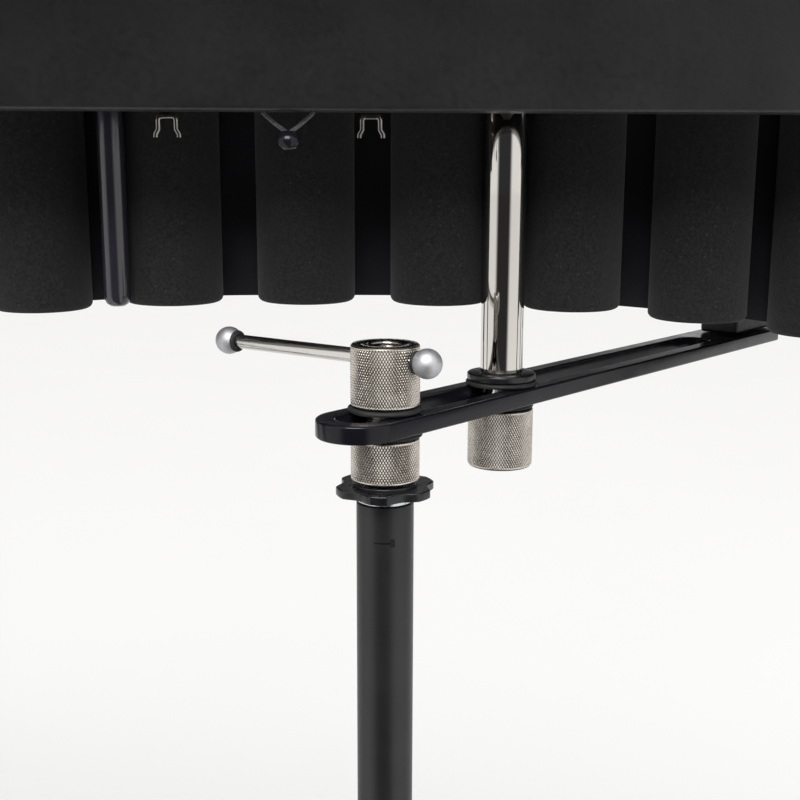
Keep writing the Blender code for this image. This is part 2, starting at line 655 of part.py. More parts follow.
def build_block_and_damper():
    half = BLOCK_WIDTH / 2
    channel_low = FELT_TOP - FELT_SIZE[1] - GAP - CHANNEL_SIZE[1]
    box("link_block", (BLOCK_SPAN[0], -half, ARM_TOP + GAP), (BLOCK_SPAN[1], half, channel_low - GAP),
        "frame_black", ROD_AXIS, ARM_YAW)
    half_y, wall = CHANNEL_SIZE[0] / 2, CHANNEL_WALL
    high = channel_low + CHANNEL_SIZE[1]
    section = [(-half_y, channel_low), (-half_y + wall, channel_low), (-half_y + wall, high - wall),
               (half_y - wall, high - wall), (half_y - wall, channel_low), (half_y, channel_low),
               (half_y, high), (-half_y, high)]
    bm = bmesh.new()
    prism_into(bm, [(-DAMPER_HALF, y, z) for y, z in section], (2 * DAMPER_HALF, 0, 0))
    add("damper_bar", bm, "aluminium")
    half_felt = FELT_SIZE[0] / 2
    box("damper_felt", (-DAMPER_HALF, -half_felt, FELT_TOP - FELT_SIZE[1]),
        (DAMPER_HALF, half_felt, FELT_TOP), "felt")
    for end, side in (("bass", -1), ("treble", 1)):
        turned(f"{end}_damper_spring", solid_profile(SPRING_RADIUS, SHELF_Z[1] + GAP, high - wall - GAP),
               "nickel", (side * SPRING_X, 0, 0), 10)


def build_small_fittings():
    """Wire clips, the pull cord with its knob, and the stay rod, all under the outer natural rail."""
    for name, along, ahead in (("bass_wire_clip", -0.0999, -0.080), ("treble_wire_clip", -0.0273, -0.080)):
        at = Vector((LINK_X, row_y(LINK_X), 0)) + ALONG * along + ACROSS * ahead
        half, low, wire = 0.00365, 0.7977, 0.0012
        high = RAIL_LOW - GAP - wire
        points = [(-half - 0.001, 0, low), (-half, 0, low + 0.003), (-half, 0, high - 0.0015),
                  (-half + 0.0015, 0, high), (half - 0.0015, 0, high), (half, 0, high - 0.0015),
                  (half, 0, low + 0.003), (half + 0.001, 0, low)]
        wire_piece(name, points, wire, "nickel", (at.x, at.y, 0), ROW_SLOPE)
    at = Vector((LINK_X, row_y(LINK_X), 0)) + ALONG * -0.0568 + ACROSS * -0.080
    knob = turned("cord_knob",
                  [(0, 0.7944), (0.0028, 0.7951), (0.0042, 0.7974), (0.0038, 0.8000), (0.0016, 0.8014),
                   (0.0016, RAIL_LOW - GAP), (0, RAIL_LOW - GAP)],
                  "plastic", (at.x, at.y, 0), 12)
    bm = bmesh.new()
    half = 0.0008
    for side in (-1, 1):
        foot, top = Vector((0, 0, 0.7995)), Vector((side * 0.0095, 0, RAIL_LOW - GAP))
        outline = [(foot.x - half, -half, foot.z), (foot.x + half, -half, foot.z),
                   (foot.x + half, half, foot.z), (foot.x - half, half, foot.z)]
        prism_into(bm, outline, top - foot)
    legs = add("knob_cord", bm, None, (at.x, at.y, 0), ROW_SLOPE)
    combine(knob, legs, "UNION").modifiers[-1].use_self = True
    build_stay_rod()


def build_stay_rod():
    """A round-ended rod beside a tube, hung from an arm that reaches the outer natural rail."""
    at = Vector((LINK_X, row_y(LINK_X), 0)) + ALONG * -0.1347 + ACROSS * -0.0205
    radius, low, high = 0.0055, 0.7310, 0.8240
    rod = turned("stay_rod", [(0, low), (0.0032, low + 0.0012), (0.0050, low + 0.0038), (radius, low + 0.007),
                              (radius, high), (0, high)], "gloss_black", (at.x, at.y, 0), 12)
    face = rail_y(at.x, False) + RAIL_WIDTH / 2
    arm = box("stay_arm", (at.x - 0.005, face + 0.0018, high - 0.010), (at.x + 0.005, at.y, high - 0.002),
              None)
    combine(rod, arm, "UNION")


def wire_piece(name, points, radius, finish, location, yaw):
    curve = bpy.data.curves.new(name, "CURVE")
    curve.dimensions = "3D"
    curve.bevel_depth = radius
    curve.bevel_resolution = 1
    curve.use_fill_caps = True
    spline = curve.splines.new("POLY")
    spline.points.add(len(points) - 1)
    for slot, point in zip(spline.points, points):
        slot.co = (*point, 1)
    curve.materials.append(own(name, finish))
    piece = bpy.data.objects.new(name, curve)
    piece.location = location
    piece.rotation_euler = (0, 0, yaw)
    bpy.context.collection.objects.link(piece)


# ---------------------------------------------------------------- pedal
def build_pedal():
    """The pedal plate, with the barrel it hinges on behind."""
    x = ROD_AXIS.x
    half = PEDAL_HALF
    low, high = PEDAL_LOW - HINGE_Z, PEDAL_TOP - HINGE_Z
    plate = box("pedal", (-half, PEDAL_FRONT - HINGE_Y, low), (half, -0.002, high), "frame_black",
                (x, HINGE_Y, HINGE_Z))
    barrel = turned("pedal_barrel", solid_profile(0.0065, -half, half), None, (x, HINGE_Y, HINGE_Z), 12,
                    matrix=AXIS_ALONG_X)
    bore = turned("pedal_bore", solid_profile(PIN_RADIUS + 0.0004, -half - 0.005, half + 0.005), None,
                  (x, HINGE_Y, HINGE_Z), 12, matrix=AXIS_ALONG_X)
    combine(plate, barrel, "UNION")
    combine(plate, bore, "DIFFERENCE")


# ---------------------------------------------------------------- casters
def build_caster(name, x, y, yaw, brake):
    """A swivelling fork with its axle, the wheel on it, and on the front pair a brake lever."""
    bridge_low, bridge_high = FORK_BRIDGE
    tail = 0.049 if brake else 0.040
    cheek = WHEEL_WIDTH / 2 + 0.002
    bm = bmesh.new()
    box_into(bm, (-0.018, -cheek - 0.003, bridge_low), (tail, cheek + 0.003, bridge_high))
    fork = add(f"{name}_caster_fork", bm, "zinc", (x, y, 0), yaw)
    bm = bmesh.new()
    for side in (-1, 1):
        ys = sorted((side * cheek, side * (cheek + 0.003)))
        outline = [(TRAIL - 0.009, ys[0], WHEEL_RADIUS - 0.008), (TRAIL + 0.009, ys[0], WHEEL_RADIUS - 0.008),
                   (TRAIL + 0.012, ys[0], bridge_low + 0.002), (-0.016, ys[0], bridge_low + 0.002)]
        prism_into(bm, outline, (0, ys[1] - ys[0], 0))
    combine(fork, add(f"{name}_cheeks", bm, None, (x, y, 0), yaw), "UNION")
    bm = bmesh.new()
    turned_into(bm, solid_profile(0.009, bridge_high - 0.002, FOOT_BEAM[0] - GAP), 14)
    axle = Matrix.Translation((TRAIL, 0, WHEEL_RADIUS)) @ AXIS_ALONG_Y
    turned_into(bm, solid_profile(0.004, -cheek - 0.002, cheek + 0.002), 12, 0, axle)
    combine(fork, add(f"{name}_pins", bm, None, (x, y, 0), yaw), "UNION")
    turn = Matrix.Rotation(yaw, 4, "Z")
    centre = turn @ Vector((TRAIL, 0, 0))
    rim = WHEEL_RADIUS / math.cos(math.pi / WHEEL_SIDES)
    half = WHEEL_WIDTH / 2
    wheel = [(0.0045, -half), (rim - 0.004, -half), (rim, 0.004 - half), (rim, half - 0.004),
             (rim - 0.004, half), (0.0045, half)]
    turned(f"{name}_caster_wheel", wheel, "rubber", (x + centre.x, y + centre.y, WHEEL_RADIUS), WHEEL_SIDES,
           math.pi / WHEEL_SIDES, AXIS_ALONG_Y, yaw)
    if brake:
        pivot = turn @ Vector((0.0505, 0, 0))
        half_z = (bridge_high - bridge_low) / 2
        box(f"{name}_caster_brake", (0.0008, -0.009, -half_z), (0.034, 0.009, half_z), "plastic",
            (x + pivot.x, y + pivot.y, (bridge_low + bridge_high) / 2), yaw)


def build_casters():
    middle = (END_INNER + END_OUTER) / 2
    for end, side in (("bass", -1), ("treble", 1)):
        for place, hand in (("front", -1), ("back", 1)):
            yaw = math.pi if side > 0 else 0.0
            build_caster(f"{end}_{place}", side * middle, hand * CASTER_Y, yaw, place == "front")


# ---------------------------------------------------------------- whole object
def main():
    for old in list(bpy.data.objects):
        bpy.data.objects.remove(old, do_unlink=True)
    build_end_frames()
    build_cross_bar()
    build_rails()
    build_bars()
    build_banks()
    build_fans()
    build_drive()
    build_arm()
    build_rod_clamp()
    build_guide()
    build_block_and_damper()
    build_small_fittings()
    build_pedal()
    build_casters()


main()
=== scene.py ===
"""A three-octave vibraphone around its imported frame: fine meshes, procedural finishes, camera and studio."""

import json
import math

import bmesh
import bpy
from mathutils import Matrix, Vector

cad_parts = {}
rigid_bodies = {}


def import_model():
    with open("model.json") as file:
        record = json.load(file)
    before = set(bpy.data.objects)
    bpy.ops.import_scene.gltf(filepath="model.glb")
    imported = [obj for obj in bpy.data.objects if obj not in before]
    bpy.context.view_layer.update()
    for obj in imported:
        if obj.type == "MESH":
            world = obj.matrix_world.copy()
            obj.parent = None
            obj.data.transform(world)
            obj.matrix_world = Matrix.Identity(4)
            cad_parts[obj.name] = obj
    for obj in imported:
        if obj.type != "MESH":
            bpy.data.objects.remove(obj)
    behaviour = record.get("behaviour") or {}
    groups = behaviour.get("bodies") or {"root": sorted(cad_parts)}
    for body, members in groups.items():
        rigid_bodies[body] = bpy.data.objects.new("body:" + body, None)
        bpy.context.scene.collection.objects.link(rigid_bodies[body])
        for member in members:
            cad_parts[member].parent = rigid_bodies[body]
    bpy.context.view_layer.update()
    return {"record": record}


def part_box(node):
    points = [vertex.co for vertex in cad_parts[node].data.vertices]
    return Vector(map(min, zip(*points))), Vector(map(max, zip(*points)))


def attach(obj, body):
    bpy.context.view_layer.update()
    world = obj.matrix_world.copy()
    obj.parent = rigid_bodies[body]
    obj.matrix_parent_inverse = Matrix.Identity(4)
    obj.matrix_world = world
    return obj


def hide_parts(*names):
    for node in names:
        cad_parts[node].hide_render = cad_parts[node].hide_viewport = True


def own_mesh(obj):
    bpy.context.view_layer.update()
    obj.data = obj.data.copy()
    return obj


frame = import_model()

TURN, QUARTER = 2 * math.pi, math.pi / 2
moved = Matrix.Translation


def turned(angle, axis):
    return Matrix.Rotation(angle, 4, axis)


# ---- reading the frame
def box_of(node):
    low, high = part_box(node)
    return Vector(low), Vector(high)


def centre_of(node):
    low, high = box_of(node)
    return (low + high) / 2


def axis_of(node):
    """The floor point under a node's centre."""
    return Vector((*centre_of(node).xy, 0))


def size_of(node):
    low, high = box_of(node)
    return high - low


def radius_of(node):
    low, high = box_of(node)
    return (high.x - low.x) / 2


JOINTS = {joint["name"]: joint for joint in frame["record"]["behaviour"]["joints"]}


def joint_at(name):
    return Vector(JOINTS[name]["pos_m"])


ROW = Vector(JOINTS["natural_fan_turn"]["axis"]).normalized()
ROW_SLOPE = math.atan2(ROW.y, ROW.x)
DEPTH = Vector((-ROW.y, ROW.x, 0))
ROD = axis_of("pedal_rod")
GUIDE = axis_of("guide_rod")
ARM_LINE = (GUIDE - ROD).normalized()
ARM_YAW = math.atan2(ARM_LINE.y, ARM_LINE.x)
ALONG_X = turned(QUARTER, "Y")
ALONG_Y = turned(QUARTER, "X")
ENDS = (("bass", -1), ("treble", 1))
RAIL_SIDES = (("outer", False), ("inner", True))
BELT_X = 0.620

# The keys, as the frame lays them out: groups of (count, pitch), bass to treble.
KEY_GROUPS = ((13, 0.0573), (5, 0.0527), (4, 0.0470))
WHITE_STEPS = (2, 2, 2, 1, 2, 2, 1)
KEYBOARD_HALF = sum(count * pitch for count, pitch in KEY_GROUPS) / 2
BASS_LENGTH, TREBLE_LENGTH = 0.375, 0.205
ROW_GAP = 0.009
NODE_SHARE = 0.276  # of a bar's length, from its middle to its cord
BAR_GAP = 0.005
TUBE_RADIUS, TREBLE_TUBE_RADIUS = 0.021, 0.019
TREBLE_PITCH = 0.050
ARCH_TOP, ARCH_X = 0.7316, 0.030
BASS_DROP, BASS_POWER, TREBLE_CURVE = 0.353, 3.1, 0.36


def lay_out_keys():
    """The (x, pitch) of each natural, and of each accidental between two naturals a whole tone apart."""
    edge = -KEYBOARD_HALF
    naturals = []
    for count, pitch in KEY_GROUPS:
        for _ in range(count):
            naturals.append((edge + pitch / 2, pitch))
            edge += pitch
    accidentals = []
    for i, ((low, _), (high, _)) in enumerate(zip(naturals, naturals[1:])):
        if WHITE_STEPS[i % len(WHITE_STEPS)] == 2:
            accidentals.append(((low + high) / 2, high - low))
    return naturals, accidentals


NATURALS, ACCIDENTALS = lay_out_keys()
ROWS = (("natural", 1, NATURALS), ("accidental", -1, ACCIDENTALS))


def bar_length(x):
    share = (x + KEYBOARD_HALF) / (2 * KEYBOARD_HALF)
    return BASS_LENGTH + (TREBLE_LENGTH - BASS_LENGTH) * share


def row_y(x):
    return -(ROW_GAP + bar_length(x)) / 2


def rail_y(x, inner):
    return row_y(x) + (NODE_SHARE if inner else -NODE_SHARE) * bar_length(x)


def arch_bottom(x):
    if x < ARCH_X:
        reach = ARCH_X - NATURALS[0][0]
        return ARCH_TOP - BASS_DROP * ((ARCH_X - x) / reach) ** BASS_POWER
    return ARCH_TOP - TREBLE_CURVE * (x - ARCH_X) ** 2


# ---- shader nodes
def configure(thing, **settings):
    for name, value in settings.items():
        setattr(thing, name, value)
    return thing


def feed(tree, node, inputs):
    """Sets a node's inputs, or links them where the value is a socket."""
    for name, value in inputs.items():
        if isinstance(value, bpy.types.NodeSocket):
            tree.links.new(value, node.inputs[name])
        else:
            node.inputs[name].default_value = value


def add_node(tree, kind, output, inputs=None, **settings):
    """Adds a node and returns one of its output sockets."""
    node = configure(tree.nodes.new("ShaderNode" + kind), **settings)
    feed(tree, node, inputs or {})
    return node.outputs[output]


def calculate(tree, operation, first, second):
    return add_node(tree, "Math", "Value", {0: first, 1: second}, operation=operation)


def noise(tree, scale, detail=3.0, stretch=(1, 1, 1)):
    place = add_node(tree, "TexCoord", "Object")
    place = add_node(tree, "Mapping", "Vector", {"Vector": place, "Scale": stretch})
    return add_node(tree, "TexNoise", "Fac", {"Vector": place, "Scale": scale, "Detail": detail})


def spread(tree, value, low, high, start=0.3, stop=0.7, **settings):
    """Maps a value's range, start to stop, onto low to high."""
    ranges = {"Value": value, "From Min": start, "From Max": stop, "To Min": low, "To Max": high}
    return add_node(tree, "MapRange", "Result", ranges, **settings)


def two_tone(tree, value, dark, light):
    tone = add_node(tree, "ValToRGB", "Color", {"Fac": value})
    for element, position, colour in zip(tone.node.color_ramp.elements, (0.35, 0.65), (dark, light)):
        element.position = position
        element.color = (*colour, 1)
    return tone


def blend(tree, factor, first, second):
    """Mixes two colours, each a value or a socket."""
    return add_node(tree, "Mix", 2, {"Factor": factor, 6: first, 7: second}, data_type="RGBA")


def bump(tree, height, distance):
    return add_node(tree, "Bump", "Normal", {"Height": height, "Distance": distance})


# ---- materials
def new_material(name):
    made = bpy.data.materials.new(name)
    made.use_nodes = True
    return made, made.node_tree, made.node_tree.nodes["Principled BSDF"]


def surface(name, dark, light, roughness, metallic, scale, grain, depth,
            stretch=(1, 1, 1), coat=0.0, sheen=0.0, specular=0.5):
    """A finish with mottled colour, uneven roughness and a fine grain."""
    made, tree, shader = new_material(name)
    fine = noise(tree, grain, 2.0, stretch)
    feed(tree, shader, {
        "Base Color": two_tone(tree, noise(tree, scale, 4.0, stretch), dark, light),
        "Roughness": spread(tree, fine, *roughness), "Normal": bump(tree, fine, depth),
        "Metallic": metallic, "Specular IOR Level": specular,
        "Coat Weight": coat, "Coat Roughness": 0.08, "Sheen Weight": sheen,
    })
    return made


def flocked():
    """Matt black flock: a soft nap with paler specks."""
    made, tree, shader = new_material("flock")
    nap = noise(tree, 900.0, 5.0)
    place = add_node(tree, "TexCoord", "Object")
    specks = add_node(tree, "TexVoronoi", "Distance", {"Vector": place, "Scale": 260.0})
    ground = two_tone(tree, nap, (0.0034, 0.0035, 0.0041), (0.0115, 0.0117, 0.0122))
    feed(tree, shader, {
        "Base Color": blend(tree, spread(tree, specks, 0.60, 0.0, 0.02, 0.15), ground,
                            (0.040, 0.041, 0.043, 1)),
        "Roughness": spread(tree, noise(tree, 22.0), 0.86, 1.0), "Normal": bump(tree, nap, 0.00025),
        "Specular IOR Level": 0.25, "Sheen Weight": 0.06, "Sheen Roughness": 0.6,
    })
    return made


# Dark and light tone, roughness range, metallic, scale of the mottling, scale and depth of the grain.
FINISHES = {
    "frame_black": ((0.011, 0.011, 0.012), (0.017, 0.017, 0.018), (0.36, 0.50), 0, 30, 420, 6e-5),
    "gloss_black": ((0.0042, 0.0038, 0.0062), (0.0066, 0.0060, 0.0092), (0.17, 0.25), 0, 24, 90, 6e-6),
    "stay_black": ((0.012, 0.011, 0.016), (0.018, 0.016, 0.023), (0.16, 0.24), 0, 30, 90, 6e-6),
    "rod_black": ((0.0075, 0.0073, 0.0082), (0.0115, 0.0111, 0.0122), (0.36, 0.44), 0, 40, 700, 15e-6),
    "lobed_black": ((0.004, 0.004, 0.005), (0.009, 0.009, 0.011), (0.24, 0.36), 0, 120, 500, 3e-5),
    "panel_black": ((0.0085, 0.0085, 0.0120), (0.0125, 0.0125, 0.0170), (0.55, 0.75), 0, 40, 900, 4e-5),
    "bar_silver": ((0.50, 0.49, 0.465), (0.60, 0.59, 0.565), (0.30, 0.38), 1, 18, 500, 3e-6),
    "nickel": ((0.74, 0.69, 0.63), (0.88, 0.83, 0.765), (0.22, 0.36), 1, 160, 1500, 2e-5),
    "chrome": ((0.66, 0.63, 0.595), (0.74, 0.715, 0.68), (0.035, 0.075), 1, 30, 200, 3e-6),
    "dark_chrome": ((0.20, 0.19, 0.18), (0.34, 0.32, 0.30), (0.10, 0.20), 1, 90, 900, 6e-6),
    # groove: painted shade, a dark brownish nickel laid into the knurl's grooves
    "groove": ((0.13, 0.11, 0.09), (0.24, 0.21, 0.18), (0.34, 0.50), 1, 160, 1500, 1e-5),
    "handle": ((0.62, 0.60, 0.56), (0.72, 0.70, 0.67), (0.14, 0.22), 1, 60, 900, 6e-6),
    "ball": ((0.50, 0.50, 0.52), (0.64, 0.64, 0.66), (0.52, 0.62), 1, 140, 1600, 2e-5),
    "satin_aluminium": ((0.56, 0.56, 0.57), (0.66, 0.66, 0.67), (0.34, 0.46), 1, 40, 900, 1e-5),
    "zinc": ((0.62, 0.67, 0.70), (0.78, 0.82, 0.84), (0.16, 0.30), 1, 130, 900, 1e-5),
    "rubber": ((0.006, 0.006, 0.006), (0.013, 0.013, 0.013), (0.58, 0.78), 0, 200, 1200, 6e-5),
    "tyre": ((0.030, 0.030, 0.031), (0.050, 0.050, 0.052), (0.60, 0.80), 0, 90, 700, 6e-5),
    "plastic": ((0.012, 0.012, 0.013), (0.019, 0.019, 0.020), (0.38, 0.55), 0, 90, 1000, 5e-5),
    "felt": ((0.020, 0.020, 0.024), (0.050, 0.050, 0.056), (0.90, 1.0), 0, 420, 1100, 4e-4),
    "cord": ((0.030, 0.030, 0.032), (0.075, 0.075, 0.078), (0.75, 0.95), 0, 700, 1800, 2e-4),
    "disc": ((0.34, 0.34, 0.35), (0.44, 0.44, 0.45), (0.36, 0.50), 1, 60, 700, 1e-5),
}
FINISH_EXTRAS = {
    "gloss_black": {"specular": 0.26}, "stay_black": {"coat": 0.6, "specular": 0.6},
    "panel_black": {"specular": 0.2}, "felt": {"sheen": 0.5}, "cord": {"sheen": 0.3},
    "bar_silver": {"stretch": (1, 0.04, 1)}, "satin_aluminium": {"stretch": (0.08, 1, 1)},
    "chrome": {"stretch": (1, 1, 0.05)}, "handle": {"stretch": (1, 1, 0.1)},
}
MATERIALS = {name: surface(name, *row, **FINISH_EXTRAS.get(name, {})) for name, row in FINISHES.items()}
MATERIALS["flock"] = flocked()


# ---- making pieces
def put(name, data, matrix=None):
    holder = bpy.data.objects.new(name, data)
    bpy.context.collection.objects.link(holder)
    if matrix is not None:
        holder.matrix_world = matrix
    return holder


def mesh_from(bm, name):
    bmesh.ops.recalc_face_normals(bm, faces=bm.faces)
    mesh = bpy.data.meshes.new(name)
    bm.to_mesh(mesh)
    bm.free()
    return mesh


def add_piece(name, shape, material, body="frame", node=None, slot=None, bevel=0.0, steps=3,
              smooth=True, matrix=None, angle=35):
    """Makes a mesh or bmesh a piece that rides on a body, and stands for a node where one is named."""
    mesh = mesh_from(shape, name) if isinstance(shape, bmesh.types.BMesh) else shape
    mesh.name = name
    piece = put(name, mesh, matrix)
    mesh.materials.append(MATERIALS[material])
    if smooth:
        mesh.shade_smooth()
        mesh.set_sharp_from_angle(angle=math.radians(angle))
    if bevel:
        configure(piece.modifiers.new("Bevel", "BEVEL"), width=bevel, segments=steps, limit_method="ANGLE",
                  angle_limit=math.radians(40), harden_normals=True)
    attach(piece, body)
    if node:
        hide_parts(node)
    return piece


def ring_into(bm, radii, z):
    """A ring of vertices about Z, with a radius for each."""
    turns = [TURN * k / len(radii) for k in range(len(radii))]
    return [bm.verts.new((radius * math.cos(turn), radius * math.sin(turn), z))
            for radius, turn in zip(radii, turns)]


def join_rings(bm, pairs):
    """Skins pairs of rings; a ring of one vertex is a tip on the axis."""
    for first, second in pairs:
        for k in range(max(len(first), len(second))):
            corners = (first[k % len(first)], first[(k + 1) % len(first)],
                       second[(k + 1) % len(second)], second[k % len(second)])
            unique = list(dict.fromkeys(corners))
            if len(unique) > 2:
                bm.faces.new(unique)


def lathe_into(bm, profile, segments, matrix=None):
    """Spins (radius, z) points about Z; a profile from axis to axis is solid, any other is a ring."""
    rings = [ring_into(bm, [radius] * (segments if radius else 1), z) for radius, z in profile]
    pairs = list(zip(rings, rings[1:]))
    if profile[0][0] > 0:
        pairs.append((rings[-1], rings[0]))
    join_rings(bm, pairs)
    if matrix is not None:
        bmesh.ops.transform(bm, matrix=matrix, verts=[vert for ring in rings for vert in ring])


def lathe(name, profile, material, body, at, segments=96, turn=None, **rest):
    bm = bmesh.new()
    lathe_into(bm, profile, segments)
    place = moved(at)
    if turn is not None:
        place = place @ turn
    return add_piece(name, bm, material, body, matrix=place, **rest)


def arc(centre, radius, start, stop, steps):
    turns = [start + (stop - start) * k / steps for k in range(steps + 1)]
    return [(centre[0] + radius * math.cos(turn), centre[1] + radius * math.sin(turn)) for turn in turns]


def lower_edge(radius, z, fillet, steps=4):
    """Points round the outer lower edge of a turned piece."""
    return arc((radius - fillet, z + fillet), fillet, -QUARTER, 0, steps)


def upper_edge(radius, z, fillet):
    return arc((radius - fillet, z - fillet), fillet, 0, QUARTER, 4)


def ring_profile(bore, outer, low, high, fillet):
    return [(bore, low)] + lower_edge(outer, low, fillet) + upper_edge(outer, high, fillet) + [(bore, high)]


def solid_profile(outer, low, high, fillet):
    return ring_profile(0, outer, low, high, fillet)


def box_into(bm, low, high):
    low, high = Vector(low), Vector(high)
    place = moved((low + high) / 2) @ Matrix.Diagonal((*(high - low), 1))
    return bmesh.ops.create_cube(bm, size=1, matrix=place)["verts"]


def blocks(name, boxes, material, body="frame", bevel=0.0015, **rest):
    """One piece of boxes, each given by its lowest and highest corners."""
    bm = bmesh.new()
    for low, high in boxes:
        box_into(bm, low, high)
    return add_piece(name, bm, material, body, bevel=bevel, **rest)


def block(name, low, high, material, *rest, **more):
    return blocks(name, [(low, high)], material, *rest, **more)


def block_for(node, name, material, body="frame", bevel=0.0015, **rest):
    return block(name, *box_of(node), material, body, bevel, node=node, **rest)


def prism(corners, push):
    """A flat outline pushed straight along a vector."""
    bm = bmesh.new()
    near, far = ([bm.verts.new(Vector(corner) + shift) for corner in corners]
                 for shift in (Vector(), Vector(push)))
    join_rings(bm, [(near, far)])
    bm.faces.new(near)
    bm.faces.new(far)
    bm.normal_update()
    return bm


def curve_mesh(lines, closed, **settings):
    curve = configure(bpy.data.curves.new("line", "CURVE"), **settings)
    for line in lines:
        spline = curve.splines.new("POLY")
        spline.points.add(len(line) - 1)
        spline.use_cyclic_u = closed
        for knot, point in zip(spline.points, line):
            knot.co = (*Vector(point).to_3d(), 1)
    holder = put("line", curve)
    mesh = bpy.data.meshes.new_from_object(holder.evaluated_get(bpy.context.evaluated_depsgraph_get()))
    bpy.data.objects.remove(holder)
    return mesh


def plate_mesh(outlines, low, high, bevel, resolution=3):
    """A plate with holes: flat outlines, filled, given a thickness and rounded edges."""
    mesh = curve_mesh(outlines, True, dimensions="2D", fill_mode="BOTH", extrude=(high - low) / 2 - bevel,
                      bevel_depth=bevel, bevel_resolution=resolution, offset=-bevel)
    mesh.transform(moved((0, 0, (low + high) / 2)))
    return mesh


def tube_mesh(points, radius, closed=False):
    return curve_mesh([points], closed, dimensions="3D", bevel_depth=radius, bevel_resolution=4,
                      use_fill_caps=not closed)


# ---- knurled nuts
KNURL_PITCH, KNURL_DEPTH = 0.00112, 0.00034
DIAMOND_HEIGHT = KNURL_PITCH * 1.75
STEPS_ROUND, STEPS_UP = 8, 10  # of the mesh, over one diamond
EDGE_DROP = 0.00012
NUT_CHAMFER, MOUTH_CHAMFER = 0.0007, 0.0009
THREAD_PITCH = 0.0015
STUD_BORE, GUIDE_BORE = 0.0076, 0.0071


def knurl_radii(outer, segments, up, fade):
    """Radii round one row of raised diamonds between two families of helical grooves."""
    radii = []
    for k in range(segments):
        turn = k / STEPS_ROUND
        nearest = min(abs(2 * ((turn + lift) % 1) - 1) for lift in (up, -up))
        radii.append(outer - KNURL_DEPTH * (1 - min(1.0, 1.12 * nearest)) * fade - EDGE_DROP * (1 - fade))
    return radii


def add_knurled_nut(node, bore):
    low, high = box_of(node)
    middle, outer = (low.z + high.z) / 2, radius_of(node)
    segments = round(TURN * outer / KNURL_PITCH) * STEPS_ROUND
    span = high.z - low.z - 2 * NUT_CHAMFER
    rows = round(span / DIAMOND_HEIGHT * STEPS_UP)
    bm = bmesh.new()
    rings = []
    for row in range(rows + 1):
        z = low.z + NUT_CHAMFER + span * row / rows
        fade = min(1.0, min(row, rows - row) / 3)
        rings.append(ring_into(bm, knurl_radii(outer, segments, (z - middle) / DIAMOND_HEIGHT, fade), z))
    face = outer - NUT_CHAMFER
    inside = [(face, high.z), (bore + MOUTH_CHAMFER, high.z), (bore, high.z - MOUTH_CHAMFER)]
    inside += [(bore + (0.0004 if k % 2 else 0.0), high.z - 0.0014 - k * THREAD_PITCH / 2)
               for k in range(int((high.z - low.z - 0.003) / (THREAD_PITCH / 2)))]
    inside += [(bore, low.z + MOUTH_CHAMFER), (bore + MOUTH_CHAMFER, low.z), (face, low.z)]
    rings += [ring_into(bm, [radius] * segments, z) for radius, z in inside]
    join_rings(bm, zip(rings, rings[1:] + rings[:1]))
    place = moved(axis_of(node)) @ turned(ROW_SLOPE - QUARTER, "Z")
    piece = add_piece(node + "_knurled", bm, "nickel", node, node, matrix=place, angle=60)
    # Polygons deep in the knurl's grooves, and those of the bore below the middle, take the groove material:
    # painted shade.
    for finish in ("dark_chrome", "groove"):
        piece.data.materials.append(MATERIALS[finish])
    for polygon in piece.data.polygons:
        radius = polygon.center.xy.length
        if radius < outer - 0.0010 and polygon.center.z > middle:
            polygon.material_index = 1
        elif radius < outer - 0.68 * KNURL_DEPTH and abs(polygon.normal.z) < 0.9:
            polygon.material_index = 2


# ---- cross handle
def add_handle():
    """The sliding cross handle: its bar, a ball at each end, and a rubber ring seated against each ball."""
    line = Vector(JOINTS["tommy_bar_slide"]["axis"]).normalized()
    low, high = box_of("tommy_bar")
    ball = (high.z - low.z) / 2
    near, far = 0.0190, 0.0796
    bar, ring = 0.0029, 0.0008
    turn = turned(math.atan2(line.y, line.x), "Z") @ ALONG_X
    at = (ROD.x, ROD.y, (low.z + high.z) / 2)
    lathe("handle_bar", solid_profile(bar, -far + 0.002, near - 0.002, 0.0003), "handle", "tommy_bar",
          at, 48, turn, node="tommy_bar")
    for label, side, place in (("near", 1, near), ("far", -1, -far)):
        globe = arc((0, place), ball, -side * QUARTER, side * QUARTER, 28)
        globe[0], globe[-1] = (0, globe[0][1]), (0, globe[-1][1])
        lathe(f"handle_ball_{label}", globe, "ball", "tommy_bar", at, 64, turn)
        loop = arc((bar + ring, place - side * (ball * 0.80)), ring, 0, TURN * 11 / 12, 11)
        lathe(f"handle_ring_{label}", loop, "rubber", "tommy_bar", at, 48, turn)


# ---- slotted arm and hand nut
def add_arm():
    """The slotted plate, with the damper bar's lifter block and its two screws on the far end."""
    low, high = box_of("slotted_arm")
    half, nose, end, corner = 0.0160, -0.015, 0.328, 0.007
    slot, slot_end = 0.0083, 0.249
    outer = arc((nose, 0), half, QUARTER, 3 * QUARTER, 40)
    outer += arc((end - corner, corner - half), corner, -QUARTER, 0, 6)
    outer += arc((end - corner, half - corner), corner, 0, QUARTER, 6)
    hole = arc((nose, 0), slot, QUARTER, 3 * QUARTER, 32) + arc((slot_end, 0), slot, -QUARTER, QUARTER, 32)
    place = moved(ROD) @ turned(ARM_YAW, "Z")
    add_piece("arm_plate", plate_mesh([outer, hole], low.z, high.z, 0.0009), "gloss_black", "linkage",
              "slotted_arm", matrix=place)
    foot, top = box_of("link_block")
    block("lifter_block", (0.278, -0.011, foot.z), (0.322, 0.011, top.z), "frame_black", "linkage", 0.0018,
          node="link_block", matrix=place)
    head = solid_profile(0.0045, low.z - 0.0028, low.z - 0.0002, 0.0006)
    for along in (0.290, 0.312):
        lathe(f"lifter_screw_{round(along * 1000)}", head, "zinc", "linkage",
              place @ Vector((along, 0, 0)), 32)


